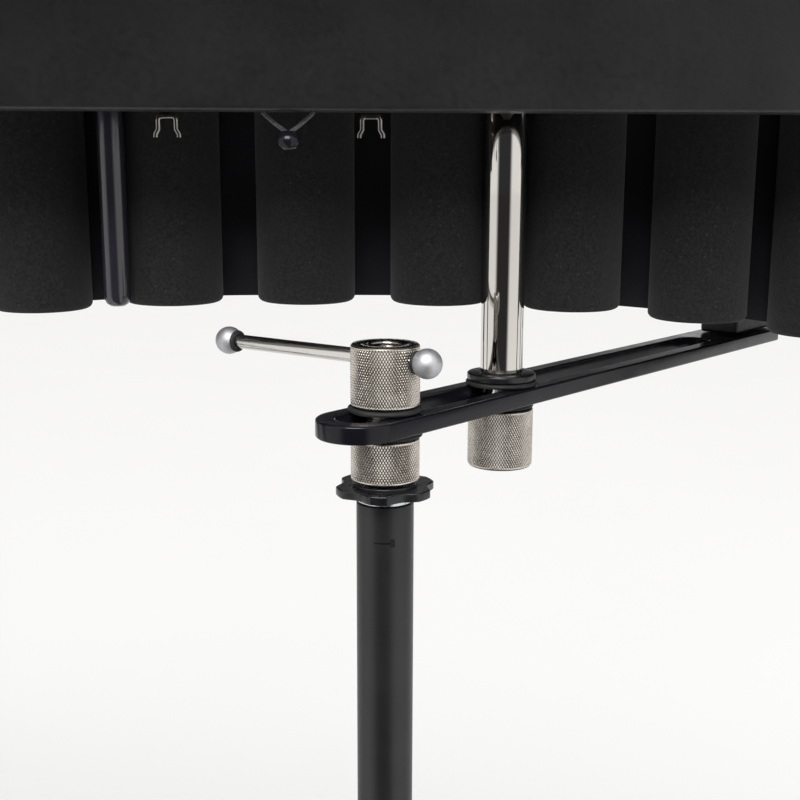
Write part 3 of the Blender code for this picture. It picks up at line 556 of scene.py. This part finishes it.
def add_lobed_nut():
    low, high = box_of("lobed_nut")
    lobes, steps = 6, 30
    root, outer = 0.0166, radius_of("lobed_nut") + 0.0001
    lead = ROW_SLOPE - math.radians(97)
    outline = []
    for k in range(lobes * steps):
        rise = 0.5 + 0.5 * math.cos(TURN * (k % steps) / steps)
        radius = root + (outer - root) * min(1.0, 1.35 * rise)
        angle = lead + TURN * k / (lobes * steps)
        outline.append((radius * math.cos(angle), radius * math.sin(angle)))
    hole = arc((0, 0), STUD_BORE, 0, TURN * 47 / 48, 47)
    add_piece("lobed_nut_plate", plate_mesh([outline, hole], low.z, low.z + 0.0034, 0.0005),
              "lobed_black", "lobed_nut", "lobed_nut", matrix=moved(ROD))
    lathe("lobed_nut_boss", ring_profile(STUD_BORE, 0.0126, low.z + 0.0030, high.z, 0.0005), "lobed_black",
          "lobed_nut", ROD)


# ---- rods and washers
def add_pedal_rod():
    """The tube with the pin of its foot, and a slit and a dimple near the top of its front."""
    low, high = box_of("pedal_rod")
    radius = radius_of("pedal_rod")
    bore, pin = 0.0083, 0.005
    profile = [(bore, low.z + 0.010), (pin, low.z + 0.008), (pin, low.z), (0.007, low.z),
               (radius - 0.0004, low.z + 0.0112), (radius, low.z + 0.0125)]
    profile += upper_edge(radius, high.z, 0.0005) + [(bore, high.z)]
    rod = lathe("pedal_rod_tube", profile, "rod_black", "linkage", ROD, 128, node="pedal_rod")
    front = ROD - DEPTH * radius + Vector((0, 0, high.z - 0.0140))
    depth = 0.0008
    for name, along, width, tall in (("slit", -0.0012, 0.0080, 0.0006), ("dimple", 0.0030, 0.0017, 0.0030)):
        bm = bmesh.new()
        box_into(bm, (-width / 2, -depth, -tall / 2), (width / 2, depth, tall / 2))
        cutter = put(name, mesh_from(bm, name),
                     moved(front + ROW * along) @ turned(ROW_SLOPE, "Z"))
        configure(rod.modifiers.new(name, "BOOLEAN"), operation="DIFFERENCE", object=cutter)
        graph = bpy.context.evaluated_depsgraph_get()
        graph.update()
        carved = bpy.data.meshes.new_from_object(rod.evaluated_get(graph))
        rod.modifiers.clear()
        rod.data = carved
        bpy.data.objects.remove(cutter)


def add_guide_rod():
    """The polished rod with its narrower stud below the shoulder."""
    low, high = box_of("guide_rod")
    radius, stud = radius_of("guide_rod"), 0.0065
    shoulder = box_of("guide_flange")[1].z + 0.0003
    profile = [(0, low.z)] + lower_edge(stud, low.z, 0.0006) + [(stud, shoulder)]
    profile += lower_edge(radius, shoulder, 0.0004) + upper_edge(radius, high.z, 0.0012) + [(0, high.z)]
    lathe("guide_rod_polished", profile, "chrome", "linkage", GUIDE, 128, node="guide_rod")


def add_washers():
    washers = (("zinc_washer", "zinc", 0.0004), ("lower_clamp_washer", "rubber", 0.0009),
               ("upper_clamp_washer", "rubber", 0.0009), ("upper_guide_washer", "rubber", 0.0009),
               ("lower_guide_washer", "rubber", 0.0009), ("guide_flange", "lobed_black", 0.0007))
    for node, material, fillet in washers:
        at, bore = (GUIDE, GUIDE_BORE) if "guide" in node else (ROD, STUD_BORE)
        low, high = box_of(node)
        lathe(node + "_turned", ring_profile(bore, radius_of(node), low.z, high.z, fillet), material,
              "linkage", at, node=node)


def add_stud():
    """The threaded stud, with its turns as rings."""
    low, high = box_of("clamp_stud")
    radius = radius_of("clamp_stud")
    root = radius - 0.0007
    profile = [(0, low.z)]
    for k in range(int((high.z - low.z - 0.001) / THREAD_PITCH)):
        z = low.z + 0.0005 + k * THREAD_PITCH
        profile += [(root, z), (radius, z + THREAD_PITCH / 2)]
    profile += [(root, high.z - 0.0003), (0, high.z)]
    lathe("clamp_stud_threaded", profile, "nickel", "linkage", ROD, 64, node="clamp_stud")


# ---- resonator banks
def tube_profile(radius, low, high):
    """An open-topped tube with a rounded bottom edge and a rolled rim."""
    wall, fillet, roll = 0.0012, 0.0026, 0.0006
    return [(0, low)] + lower_edge(radius, low, fillet, 6) + [
        (radius, high - roll), (radius - wall / 2, high), (radius - wall, high - roll),
        (radius - wall, low + fillet), (radius - fillet, low + wall), (0, low + wall)]


def add_banks():
    rim = 0.856
    for row, hand, keys in ROWS:
        bm = bmesh.new()
        for x, pitch in keys:
            radius = TUBE_RADIUS if pitch > TREBLE_PITCH else TREBLE_TUBE_RADIUS
            shift = hand * (TUBE_RADIUS - radius) * 0.95
            lathe_into(bm, tube_profile(radius, arch_bottom(x), rim), 56,
                       moved((x, hand * row_y(x) + shift, 0)))
        add_piece(f"{row}_tubes", bm, "flock", node=f"{row}_resonator_bank", angle=50)
        add_panel(row, hand, keys)


def add_panel(row, hand, keys):
    """The riveted plate behind the tubes, cut to their arch, with a tab at each end."""
    offset = (TUBE_RADIUS * math.cos(math.pi / 10) - 0.0004) / math.cos(ROW_SLOPE)
    reach = box_of(f"{row}_resonator_bank")[1].x
    top, tab_low, margin, thickness, steps = 0.850, 0.835, 0.024, 0.0025, 72
    first, last = keys[0][0], keys[-1][0]
    start, span = first - margin, last - first + 2 * margin
    outline = [(-reach, top), (-reach, tab_low), (start, tab_low)]
    for x in (start + span * k / steps for k in range(steps + 1)):
        outline.append((x, arch_bottom(min(max(x, first), last))))
    outline += [(start + span, tab_low), (reach, tab_low), (reach, top)]
    normal = Vector((-math.sin(ROW_SLOPE), math.cos(ROW_SLOPE) * hand, 0))
    bm = prism([(x, hand * (row_y(x) + offset), z) for x, z in outline], normal * thickness)
    bmesh.ops.triangulate(bm, faces=[face for face in bm.faces if len(face.verts) > 4])
    add_piece(f"{row}_panel", bm, "panel_black", smooth=False)
    rivet = [(0, 0.0013), (0.0013, 0.0011), (0.0024, 0.0003), (0.0026, -0.0004), (0, -0.0004)]
    turn = turned(-hand * QUARTER, "X")
    bm = bmesh.new()
    for x, _ in keys:
        y = hand * (row_y(x) + offset) + hand * thickness
        for z in (0.845, 0.790):
            if z > arch_bottom(x) + 0.015:
                lathe_into(bm, rivet, 16, moved((x, y, z)) @ turn)
    add_piece(f"{row}_rivets", bm, "satin_aluminium")


# ---- bars, cords and rails
def bar_into(bm, x, y, width, length, low, high):
    """A bar with chamfered edges and a shallow tuning arch under its middle."""
    chamfer, arch_depth, arch_share, sections = 0.0009, 0.0034, 0.52, 24
    rings = []
    for k in range(sections + 1):
        s = -1 + 2 * k / sections
        under = low + arch_depth * max(0.0, math.cos(min(1.0, abs(s) / arch_share) * QUARTER)) ** 2
        inset = 0.0 if 0 < k < sections else chamfer
        left, right = x - (width / 2 - inset), x + (width / 2 - inset)
        section = ((left, under + chamfer), (left + chamfer, under + inset),
                   (right - chamfer, under + inset), (right, under + chamfer),
                   (right, high - chamfer), (right - chamfer, high - inset),
                   (left + chamfer, high - inset), (left, high - chamfer))
        rings.append([bm.verts.new((px, y + s * length / 2, pz)) for px, pz in section])
    join_rings(bm, zip(rings, rings[1:]))
    bm.faces.new(rings[0])
    bm.faces.new(rings[-1])


def add_bars():
    steps, cord_radius, tuck = 90, 0.00145, 0.0005
    for row, hand, keys in ROWS:
        low, high = box_of(f"{row}_bars")
        for number, (x, pitch) in enumerate(keys, 1):
            bm = bmesh.new()
            bar_into(bm, x, hand * row_y(x), pitch - BAR_GAP, bar_length(x), low.z, high.z)
            add_piece(f"{row}_bar_{number:02d}", bm, "bar_silver", angle=30,
                      node=f"{row}_bars" if number == 1 else None)
        for label, inner in RAIL_SIDES:
            start, stop = (Vector((x, hand * rail_y(x, inner), (low.z + high.z) / 2))
                           for x in (low.x + tuck, high.x - tuck))
            points = [start.lerp(stop, k / steps) for k in range(steps + 1)]
            add_piece(f"{row}_{label}_cord", tube_mesh(points, cord_radius), "cord")


def post_into(bm, x, y, low, high):
    """A cord post: a foot on the rail, a pin, and a head at the cord."""
    place = moved((x, y, 0))
    lathe_into(bm, solid_profile(0.0021, low - 0.0006, low + 0.0040, 0.0008), 14, place)
    lathe_into(bm, solid_profile(0.0011, low + 0.0030, high - 0.0010, 0.0002), 12, place)
    lathe_into(bm, solid_profile(0.0016, high - 0.0022, high - 0.0004, 0.0005), 12, place)


def add_rails():
    rail_top, half = 0.862, 0.010
    posts = {"natural": [x - pitch / 2 for x, pitch in NATURALS] + [KEYBOARD_HALF],
             "accidental": [x for x, _ in NATURALS[:-1]]}
    for row, hand, _ in ROWS:
        for label, inner in RAIL_SIDES:
            node = f"{row}_{label}_rail"
            low, high = box_of(node)
            ends = ((low.x, -half), (high.x, -half), (high.x, half), (low.x, half))
            bm = prism([(x, hand * rail_y(x, inner) + shift, low.z) for x, shift in ends],
                       (0, 0, rail_top - low.z))
            add_piece(node + "_beam", bm, "frame_black", node=node, bevel=0.0015)
            bm = bmesh.new()
            for x in posts[row]:
                post_into(bm, x, hand * rail_y(x, inner), rail_top, high.z)
            add_piece(node + "_posts", bm, "zinc")


# ---- fans and drive
def add_fans():
    """Each row's shaft with its pulley, a disc between two plates over each tube, and two bearings."""
    slant = math.cos(ROW_SLOPE)
    wheel, rim, bore = BELT_X / slant, 0.012, 0.0028
    for row, hand, keys in ROWS:
        body, node = f"{row}_fans", f"{row}_fan_shaft"
        turn = turned(hand * ROW_SLOPE, "Z")
        place = moved(joint_at(f"{row}_fan_turn")) @ turn
        reach = size_of(node).x / 2 / slant - 0.0006
        bm = bmesh.new()
        lathe_into(bm, solid_profile(0.003, -reach, reach, 0.0004), 24, ALONG_X)
        lathe_into(bm, [(bore, wheel - 0.004), (rim, wheel - 0.004), (rim, wheel - 0.0025),
                        (rim - 0.0016, wheel), (rim, wheel + 0.0025), (rim, wheel + 0.004),
                        (bore, wheel + 0.004)], 64, ALONG_X)
        add_piece(f"{row}_shaft", bm, "satin_aluminium", body, node, matrix=place)
        bm = bmesh.new()
        for x, pitch in keys:
            radius = 0.0165 if pitch > TREBLE_PITCH else 0.0145
            tilt = moved((x / slant, 0, 0)) @ turned(math.radians(35), "X")
            lathe_into(bm, solid_profile(radius, -0.0006, 0.0006, 0.0003), 48, tilt)
            for lift in (-0.0024, 0.0024):
                plate = box_into(bm, (-0.004, -0.0034, -0.0012), (0.004, 0.0034, 0.0012))
                bmesh.ops.transform(bm, verts=plate, matrix=tilt @ moved((0, 0, lift)))
        add_piece(f"{row}_discs", bm, "disc", body, matrix=place)
        for label, side in ENDS:
            lathe(f"{row}_bearing_{label}", ring_profile(0.0034, 0.0075, -0.003, 0.003, 0.0008), "zinc",
                  "frame", place @ Vector((side * (reach - 0.004), 0, 0)), 40, turn @ ALONG_X)


def tangent_angle(first, second):
    """Where a belt leaves one wheel for the next, each given as (y, z, radius)."""
    dy, dz = second[0] - first[0], second[1] - first[1]
    return math.atan2(dz, dy) - math.acos((first[2] - second[2]) / math.hypot(dy, dz))


def add_drive():
    fan_y, fan_z, fan_radius = row_y(BELT_X), joint_at("natural_fan_turn").z, 0.0140
    motor = joint_at("motor_pulley_turn")
    wheels = ((fan_y, fan_z, fan_radius), (motor.y, motor.z, 0.0100), (-fan_y, fan_z, fan_radius))
    points = []
    for i, wheel in enumerate(wheels):
        start = tangent_angle(wheels[i - 1], wheel)
        stop = tangent_angle(wheel, wheels[(i + 1) % 3])
        while stop < start:
            stop += TURN
        points += [(BELT_X, y, z) for y, z in arc(wheel[:2], wheel[2], start, stop, 16)]
    add_piece("belt_round", tube_mesh(points, 0.0014, True), "rubber", node="drive_belt")
    profile = [(0, -0.004), (0.008, -0.004), (0.008, -0.0025), (0.0068, 0), (0.008, 0.0025),
               (0.008, 0.004), (0.003, 0.004), (0.003, 0.0197), (0, 0.0197)]
    lathe("motor_pulley_grooved", profile, "satin_aluminium", "motor_pulley", motor, 64, ALONG_X,
          node="motor_pulley")


def add_motor_box():
    low, high = box_of("motor_box")
    block_for("motor_box", "motor_housing", "plastic", bevel=0.003)
    vents = [((high.x - 0.0010, -0.038, z), (high.x + 0.0006, 0.038, z + 0.0028))
             for z in (low.z + 0.014 + k * 0.0075 for k in range(7))]
    blocks("motor_vents", vents, "frame_black", bevel=0.0005, slot="plastic")
    x = (low.x + high.x) / 2
    block("power_inlet", (x - 0.012, high.y - 0.001, low.z + 0.028),
          (x + 0.012, high.y + 0.002, low.z + 0.050), "plastic", bevel=0.001)
    block("power_inlet_recess", (x - 0.009, high.y + 0.0015, low.z + 0.031),
          (x + 0.009, high.y + 0.0024, low.z + 0.047), "rubber", bevel=0.0004, slot="plastic")


def add_speed_knob():
    """A ribbed knob with a pale pointer on its face."""
    knob = joint_at("speed_knob_turn")
    depth, ribs = size_of("speed_knob").y, 20
    bm = bmesh.new()
    lathe_into(bm, [(0, 0), (0.0095, 0)] + upper_edge(0.0100, depth, 0.0014) + [(0, depth)], 48)
    for k in range(ribs):
        spoke = turned(TURN * k / ribs, "Z") @ moved((0.0099, 0, 0))
        lathe_into(bm, solid_profile(0.0010, 0.001, depth - 0.0016, 0.0004), 8, spoke)
    add_piece("speed_knob_ribbed", bm, "plastic", "speed_knob", "speed_knob",
              matrix=moved(knob) @ ALONG_Y)
    block("speed_pointer", (knob.x - 0.0005, knob.y - depth - 0.0002, knob.z + 0.002),
          (knob.x + 0.0005, knob.y - depth + 0.0006, knob.z + 0.0088), "zinc", "speed_knob", 0.0002)


def add_power_switch():
    """The rocker, and the bezel round it on the motor box's front."""
    low, high = box_of("power_switch")
    block_for("power_switch", "power_rocker", "plastic", "power_switch", 0.0012)
    panel = box_of("motor_box")[0].y
    face, back = panel - 0.0016, panel + 0.0005
    rim, slack = 0.0014, 0.0009
    sides = [((x, face, low.z - slack - rim), (x + rim, back, high.z + slack + rim))
             for x in (low.x - slack - rim, high.x + slack)]
    sides += [((low.x - slack, face, z), (high.x + slack, back, z + rim))
              for z in (low.z - slack - rim, high.z + slack)]
    blocks("switch_bezel", sides, "plastic", bevel=0.0003)


# ---- damper bar
def add_damper():
    low, high = box_of("damper_bar")
    wall = 0.002
    section = ((low.y, low.z), (low.y + wall, low.z), (low.y + wall, high.z - wall),
               (high.y - wall, high.z - wall), (high.y - wall, low.z), (high.y, low.z),
               (high.y, high.z), (low.y, high.z))
    bm = prism([(low.x, y, z) for y, z in section], (high.x - low.x, 0, 0))
    add_piece("damper_channel", bm, "satin_aluminium", "linkage", "damper_bar", bevel=0.0004, steps=2)
    strip = block_for("damper_felt", "damper_felt_strip", "felt", "linkage", 0.0022)
    for end, _ in ENDS:
        add_spring(f"{end}_damper_spring")


def add_spring(node):
    """A return spring whose end turns lie closer."""
    low, high = box_of(node)
    foot = axis_of(node)
    height = high.z - low.z
    radius, wire, turns, steps = 0.0070, 0.00075, 7.5, 20
    points = []
    for k in range(int(turns * steps) + 1):
        share = k / (turns * steps)
        angle = TURN * k / steps
        closer = share + 0.018 * math.sin(TURN * share)
        points.append((foot.x + radius * math.cos(angle), foot.y + radius * math.sin(angle),
                       low.z + wire + (height - 2 * wire) * closer))
    coil = add_piece(node + "_coil", tube_mesh(points, wire), "nickel", node=node)
    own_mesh(coil)


# ---- fittings under the front rail
def add_wire_clip(node):
    low, high = box_of(node)
    half, wire, bend, flare = 0.0032, 0.0011, 0.0016, 0.0010
    top, foot = high.z - wire, low.z + 0.0018
    left = [(-half - flare, foot - 0.0004), (-half - flare, foot + 0.0008), (-half, foot + 0.0024)]
    left += arc((-half + bend, top - bend), bend, math.pi, QUARTER, 6)
    path = left + [(-x, z) for x, z in reversed(left)]
    points = [axis_of(node) + ROW * x + Vector((0, 0, z)) for x, z in path]
    add_piece(node + "_wire", tube_mesh(points, wire), "dark_chrome", node=node)


def add_cord_knob():
    low, high = box_of("cord_knob")
    at = axis_of("cord_knob")
    shape = ((0, 0), (0.0018, 0.0002), (0.0034, 0.0010), (0.0045, 0.0026), (0.0046, 0.0040),
             (0.0038, 0.0056), (0.0024, 0.0067), (0, 0.0070))
    lathe("cord_knob_turned", [(radius, low.z + rise) for radius, rise in shape], "gloss_black", "frame",
          at, 48, node="cord_knob")
    foot, reach, steps = low.z + 0.0060, 0.0092, 10
    points = []
    for k in range(-steps, steps + 1):
        share = abs(k) / steps
        rise = foot + (high.z - foot) * (0.75 * share + 0.25 * share * share)
        points.append(at + ROW * (reach * k / steps) + Vector((0, 0, rise)))
    add_piece("knob_cord_loop", tube_mesh(points, 0.0007), "cord", slot="plastic")


def add_stay_rod():
    """The thin glossy rod with a round lower end, and the arm that holds its top."""
    low, high = box_of("stay_rod")
    radius, top = 0.0055, high.z
    at = Vector(((low.x + high.x) / 2, high.y - radius, 0))
    tip = ((0, 0), (0.0030, 0.0003), (0.0046, 0.0014), (0.0053, 0.0030), (radius, 0.0050))
    profile = [(out, low.z + rise) for out, rise in tip]
    profile += [(radius, top - 0.001), (radius - 0.001, top), (0, top)]
    lathe("stay_rod_turned", profile, "stay_black", "frame", at, 64, node="stay_rod")
    block("stay_rod_arm", (at.x - 0.005, low.y, top - 0.010),
          (at.x + 0.005, at.y - radius * 0.6, top - 0.002), "frame_black", bevel=0.0010, slot="gloss_black")


def add_saddle():
    low, high = box_of("guide_saddle")
    notch = radius_of("guide_rod") + 0.0005
    lip = math.asin((high.y - GUIDE.y) / notch)
    plan = [(low.x, low.y), (high.x, low.y), (high.x, high.y)]
    plan += arc(((low.x + high.x) / 2, GUIDE.y), notch, lip, -math.pi - lip, 28) + [(low.x, high.y)]
    add_piece("guide_saddle_block", plate_mesh([plan], low.z, high.z, 0.0005, 2), "frame_black",
              node="guide_saddle")


# ---- frame and pedal
def add_screw(name, at, side, radius=0.0055):
    """A button-head screw with a socket, facing outward at one end of the frame."""
    shape = ((0, 0), (1, 0), (1, 0.16), (0.86, 0.46), (0.60, 0.60), (0.42, 0.60), (0.42, 0.20), (0, 0.20))
    lathe(name, [(radius * out, radius * up) for out, up in shape], "zinc", "frame", at, 36,
          turned(side * QUARTER, "Y"))


def add_frame_end(end, side):
    outer_x = side * 0.680
    for member, bevel in (("foot_beam", 0.004), ("front_upright", 0.007), ("back_upright", 0.007)):
        node = f"{end}_{member}"
        block_for(node, node + "_tube", "frame_black", bevel=bevel, steps=5)
    node = f"{end}_top_beam"
    low, high = box_of(node)
    left, right = sorted((side * 0.640, outer_x))
    block(node + "_body", (left, low.y, low.z), (right, high.y, high.z), "frame_black", bevel=0.005,
          node=node, steps=5)
    left, right = sorted((side * 0.645, side * 0.550))
    block(f"{end}_shelf", (left, -0.016, 0.802), (right, 0.016, 0.808), "frame_black", bevel=0.0012)
    for place in ("front", "back"):
        for z in (0.105, 0.828):
            add_screw(f"{end}_{place}_screw_{round(z * 1000)}",
                      (outer_x, centre_of(f"{end}_{place}_upright").y, z), side)
    low, high = box_of(f"{end}_foot_beam")
    inset, thickness = 0.001, 0.003
    for label, y, out in (("front", low.y, -thickness), ("back", high.y, thickness)):
        block(f"{end}_{label}_foot_cap", (low.x + inset, min(y, y + out), low.z + inset),
              (high.x - inset, max(y, y + out), high.z - inset), "rubber", bevel=0.0014)


def add_cross_bar():
    """The lower cross bar, the two lugs under it and the pedal's pin."""
    low, high = box_of("lower_cross_bar")
    front, back, middle, half = -0.070, -0.040, 0.105, 0.015
    block("cross_bar_tube", (low.x, front, middle - half), (high.x, back, middle + half), "frame_black",
          bevel=0.004, node="lower_cross_bar", steps=4)
    hinge = joint_at("pedal_hinge")
    for label, side in (("left", -1), ("right", 1)):
        inner, outer = sorted((side * 0.101, side * 0.105))
        block(f"pedal_lug_{label}", (hinge.x + inner, hinge.y - 0.008, low.z),
              (hinge.x + outer, -0.044, 0.094), "frame_black", bevel=0.0012)
        add_screw(f"pedal_pin_head_{label}", (hinge.x + side * 0.105, hinge.y, hinge.z), side, 0.0045)
    lathe("pedal_pin", solid_profile(0.003, -0.104, 0.104, 0.0003), "zinc", "frame", hinge, 32, ALONG_X)


def add_pedal():
    low, high = box_of("pedal")
    hinge = joint_at("pedal_hinge")
    foot, top = 0.058, 0.070
    block("pedal_plate", (low.x, low.y, foot), (high.x, hinge.y - 0.002, top), "frame_black", "pedal",
          0.0030, node="pedal", steps=4)
    lathe("pedal_barrel", ring_profile(0.0034, 0.0065, low.x - hinge.x, high.x - hinge.x, 0.0006),
          "frame_black", "pedal", hinge, 40, ALONG_X)
    margin, pitch, rib = 0.014, 0.008, 0.004
    front, back = low.y + margin, ROD.y - 0.028
    left, right = low.x + margin, high.x - margin
    tread = [((left, front, top - 0.0004), (right, back, top + 0.0014))]
    for k in range(int((back - front - 0.006) / pitch)):
        y = front + 0.005 + k * pitch
        tread.append(((left + rib, y, top + 0.001), (right - rib, y + rib, top + 0.0030)))
    blocks("pedal_tread", tread, "rubber", "pedal", 0.0005, steps=2)


# ---- casters
def add_caster(name, side, brake):
    """A fork of a bridge and two cheeks, its axle with two nuts, the swivel race, a wheel and any brake."""
    swivel, axle = joint_at(name + "_swivel"), joint_at(name + "_roll")
    place = moved((swivel.x, swivel.y, 0)) @ turned(math.pi if side > 0 else 0, "Z")
    trail = abs(axle.x - swivel.x)
    body = name + "_caster"
    bridge_low, bridge_high = 0.0765, 0.0815
    tail = 0.049 if brake else 0.040
    cheek = 0.014
    block(body + "_bridge", (-0.018, -cheek - 0.003, bridge_low), (tail, cheek + 0.003, bridge_high), "zinc",
          body, 0.0016, node=body + "_fork", matrix=place)
    outline = arc((trail, axle.z), 0.0095, -math.pi, 0, 14)
    outline += [(trail + 0.012, bridge_low + 0.001), (-0.016, bridge_low + 0.001)]
    for label, hand in (("left", -1), ("right", 1)):
        add_piece(f"{body}_cheek_{label}", plate_mesh([outline], -0.0015, 0.0015, 0.0004, 2), "zinc",
                  body, matrix=place @ moved((0, hand * (cheek + 0.0015), 0)) @ ALONG_Y)
        bolt = place @ moved((trail, hand * (cheek + 0.0028), axle.z))
        lathe(f"{body}_nut_{label}", solid_profile(0.0062, 0, 0.0032, 0.0004), "zinc", body, (0, 0, 0), 6,
              bolt @ turned(-hand * QUARTER, "X"), bevel=0.0004)
    lathe(body + "_axle", solid_profile(0.004, -cheek - 0.002, cheek + 0.002, 0.0003), "zinc", body,
          place @ Vector((trail, 0, axle.z)), 32, ALONG_Y)
    lathe(body + "_race", ring_profile(0.0002, 0.0135, bridge_high - 0.0003, 0.0846, 0.0010), "zinc", body,
          (swivel.x, swivel.y, 0), 48)
    add_wheel(name, axle)
    if brake:
        add_brake(name, side)


def add_brake(name, side):
    """The lever, with four ribs across its outer end."""
    node, body = name + "_caster_brake", name + "_brake"
    low, high = box_of(node)
    block_for(node, name + "_brake_lever", "plastic", body, 0.0012)
    outer_end = low.x if side > 0 else high.x
    ribs = []
    for k in range(4):
        x = outer_end + side * (0.003 + 0.004 * k)
        left, right = sorted((x, x + side * 0.002))
        ribs.append(((left, low.y + 0.002, high.z - 0.0004), (right, high.y - 0.002, high.z + 0.0006)))
    blocks(name + "_brake_ribs", ribs, "plastic", body, 0)


def add_wheel(name, axle):
    """A dark tyre with a grooved tread, and a pale hub with a dish."""
    node, body = name + "_caster_wheel", name + "_wheel"
    radius, half = axle.z, size_of(node).y / 2
    side = [(radius - 0.012, 0.002), (radius - 0.006, 0), (radius - 0.0022, 0.0006),
            (radius - 0.0005, 0.0026)]
    tread = [(out, -half + rise) for out, rise in side]
    for groove in (-0.0045, 0.0045):
        tread += [(radius, groove - 0.0012), (radius - 0.0009, groove - 0.0005),
                  (radius - 0.0009, groove + 0.0005), (radius, groove + 0.0012)]
    tread += [(out, half - rise) for out, rise in reversed(side)]
    lathe(name + "_tyre", tread, "tyre", body, axle, 72, ALONG_Y, node=node)
    dish = [(0.0045, 0), (0.0100, 0), (0.0110, 0.004), (radius - 0.0135, 0.004), (radius - 0.0119, 0.0015)]
    hub = [(out, -half + rise) for out, rise in dish] + [(out, half - rise) for out, rise in reversed(dish)]
    lathe(name + "_hub", hub, "satin_aluminium", body, axle, 72, ALONG_Y, slot="tyre")


# ---- camera, light and stage
# The camera looks square at the natural row from in front of the pedal rod, pitched a little down.
CAMERA_FROM_ROD = (0.0056, -0.432)  # along and across the row
CAMERA_HEIGHT = 0.790
CAMERA_PITCH = math.radians(11.5)
CAMERA_ROLL = math.radians(0.2)
CAMERA_LENS = 52.35
DARK_SLICE = ((-53, -35), (35, 17))  # degrees along the row from straight in front, each edge soft


def add_camera():
    lens = configure(bpy.data.cameras.new("camera"), lens=CAMERA_LENS, sensor_width=36, clip_start=0.01)
    place = Vector((ROD.x, ROD.y, CAMERA_HEIGHT)) + ROW * CAMERA_FROM_ROD[0] + DEPTH * CAMERA_FROM_ROD[1]
    bpy.context.scene.camera = put("camera", lens, (
        moved(place)
        @ turned(ROW_SLOPE, "Z")
        @ turned(QUARTER - CAMERA_PITCH, "X")
        @ turned(CAMERA_ROLL, "Z")
    ))


def dark_slice(tree, direction):
    """1 inside the upright slice of the room, in front of the row, that polished metal sees as dark."""
    front, side = (add_node(tree, "VectorMath", "Value", {0: direction, 1: tuple(axis)},
                            operation="DOT_PRODUCT") for axis in (-DEPTH, ROW))
    bearing = calculate(tree, "ARCTAN2", side, front)
    edges = [spread(tree, bearing, 0.0, 1.0, math.radians(start), math.radians(stop),
                    interpolation_type="SMOOTHSTEP") for start, stop in DARK_SLICE]
    return calculate(tree, "MULTIPLY", *edges)


def add_world():
    """White all round, with the dark slice low down in front, seen only by reflections."""
    world = bpy.data.worlds.new("studio")
    world.use_nodes = True
    tree = world.node_tree
    direction = add_node(tree, "TexCoord", "Generated")
    height = add_node(tree, "SeparateXYZ", "Z", {"Vector": direction})
    low = spread(tree, height, 0.0, 1.0, 0.45, 0.20, interpolation_type="SMOOTHSTEP")
    dark = calculate(tree, "MULTIPLY", dark_slice(tree, direction), low)
    room = blend(tree, dark, (0.96, 0.955, 0.945, 1), (0.035, 0.035, 0.038, 1))
    direct = add_node(tree, "LightPath", "Is Camera Ray")
    feed(tree, tree.nodes["Background"],
         {"Color": blend(tree, direct, room, (0.97, 0.97, 0.97, 1)), "Strength": 1.05})
    bpy.context.scene.world = world


def add_light(name, place, target, size, energy):
    light = configure(bpy.data.lights.new(name, "AREA"), shape="RECTANGLE", size=size[0], size_y=size[1],
                      energy=energy)
    aim = Vector(target) - Vector(place)
    return put(name, light, moved(place) @ aim.to_track_quat("-Z", "Y").to_matrix().to_4x4())


def shade_tops(light):
    """Keeps a low light off the bars, rails and top beams, whose flat tops would glare at a low angle."""
    shaded = bpy.data.collections.new("shaded_tops")
    light.light_linking.receiver_collection = shaded
    for piece in bpy.context.scene.objects:
        if any(word in piece.name for word in ("natural_bar_", "accidental_bar_", "_rail", "top_beam")):
            shaded.objects.link(piece)
    for held in shaded.collection_objects:
        held.light_linking.link_state = "EXCLUDE"


def add_stage():
    """A pale paper floor, with the dark slice in what reflections see of it."""
    mesh = bpy.data.meshes.new("floor")
    bm = bmesh.new()
    bmesh.ops.create_grid(bm, x_segments=1, y_segments=1, size=40)
    bm.to_mesh(mesh)
    bm.free()
    made, tree, shader = new_material("floor_paper")
    paper = two_tone(tree, noise(tree, 2.0, 2.0), (0.917, 0.917, 0.917), (0.923, 0.923, 0.923))
    point = add_node(tree, "NewGeometry", "Position")
    bearing = add_node(tree, "VectorMath", "Vector", {0: point, 1: tuple(GUIDE)}, operation="SUBTRACT")
    mirrored = add_node(tree, "LightPath", "Is Glossy Ray")
    dark = calculate(tree, "MULTIPLY", dark_slice(tree, bearing), mirrored)
    feed(tree, shader, {"Base Color": blend(tree, dark, paper, (0.03, 0.03, 0.03, 1)),
                        "Roughness": 0.9, "Specular IOR Level": 0.0})
    mesh.materials.append(made)
    put("floor", mesh)


# ---- whole scene
add_knurled_nut("clamp_nut", STUD_BORE)
add_knurled_nut("lock_nut", STUD_BORE)
add_knurled_nut("gland_nut", GUIDE_BORE)
add_handle()
add_arm()
add_lobed_nut()
add_pedal_rod()
add_guide_rod()
add_washers()
add_stud()
add_banks()
add_bars()
add_rails()
add_fans()
add_drive()
add_motor_box()
add_speed_knob()
add_power_switch()
add_damper()
for end, side in ENDS:
    add_wire_clip(f"{end}_wire_clip")
add_cord_knob()
add_stay_rod()
add_saddle()
for end, side in ENDS:
    add_frame_end(end, side)
add_cross_bar()
add_pedal()
for end, side in ENDS:
    for place in ("front", "back"):
        add_caster(f"{end}_{place}", side, place == "front")
add_camera()
add_world()
shade_tops(add_light("key", (-0.02, -0.66, 1.14), (0.02, -0.16, 0.70), (0.40, 0.30), 4.5))
add_light("top", (0.4, -0.6, 2.6), (0.05, -0.2, 0.75), (1.2, 1.2), 14).visible_glossy = False
add_stage()
bpy.context.scene.view_settings.view_transform = "Standard"
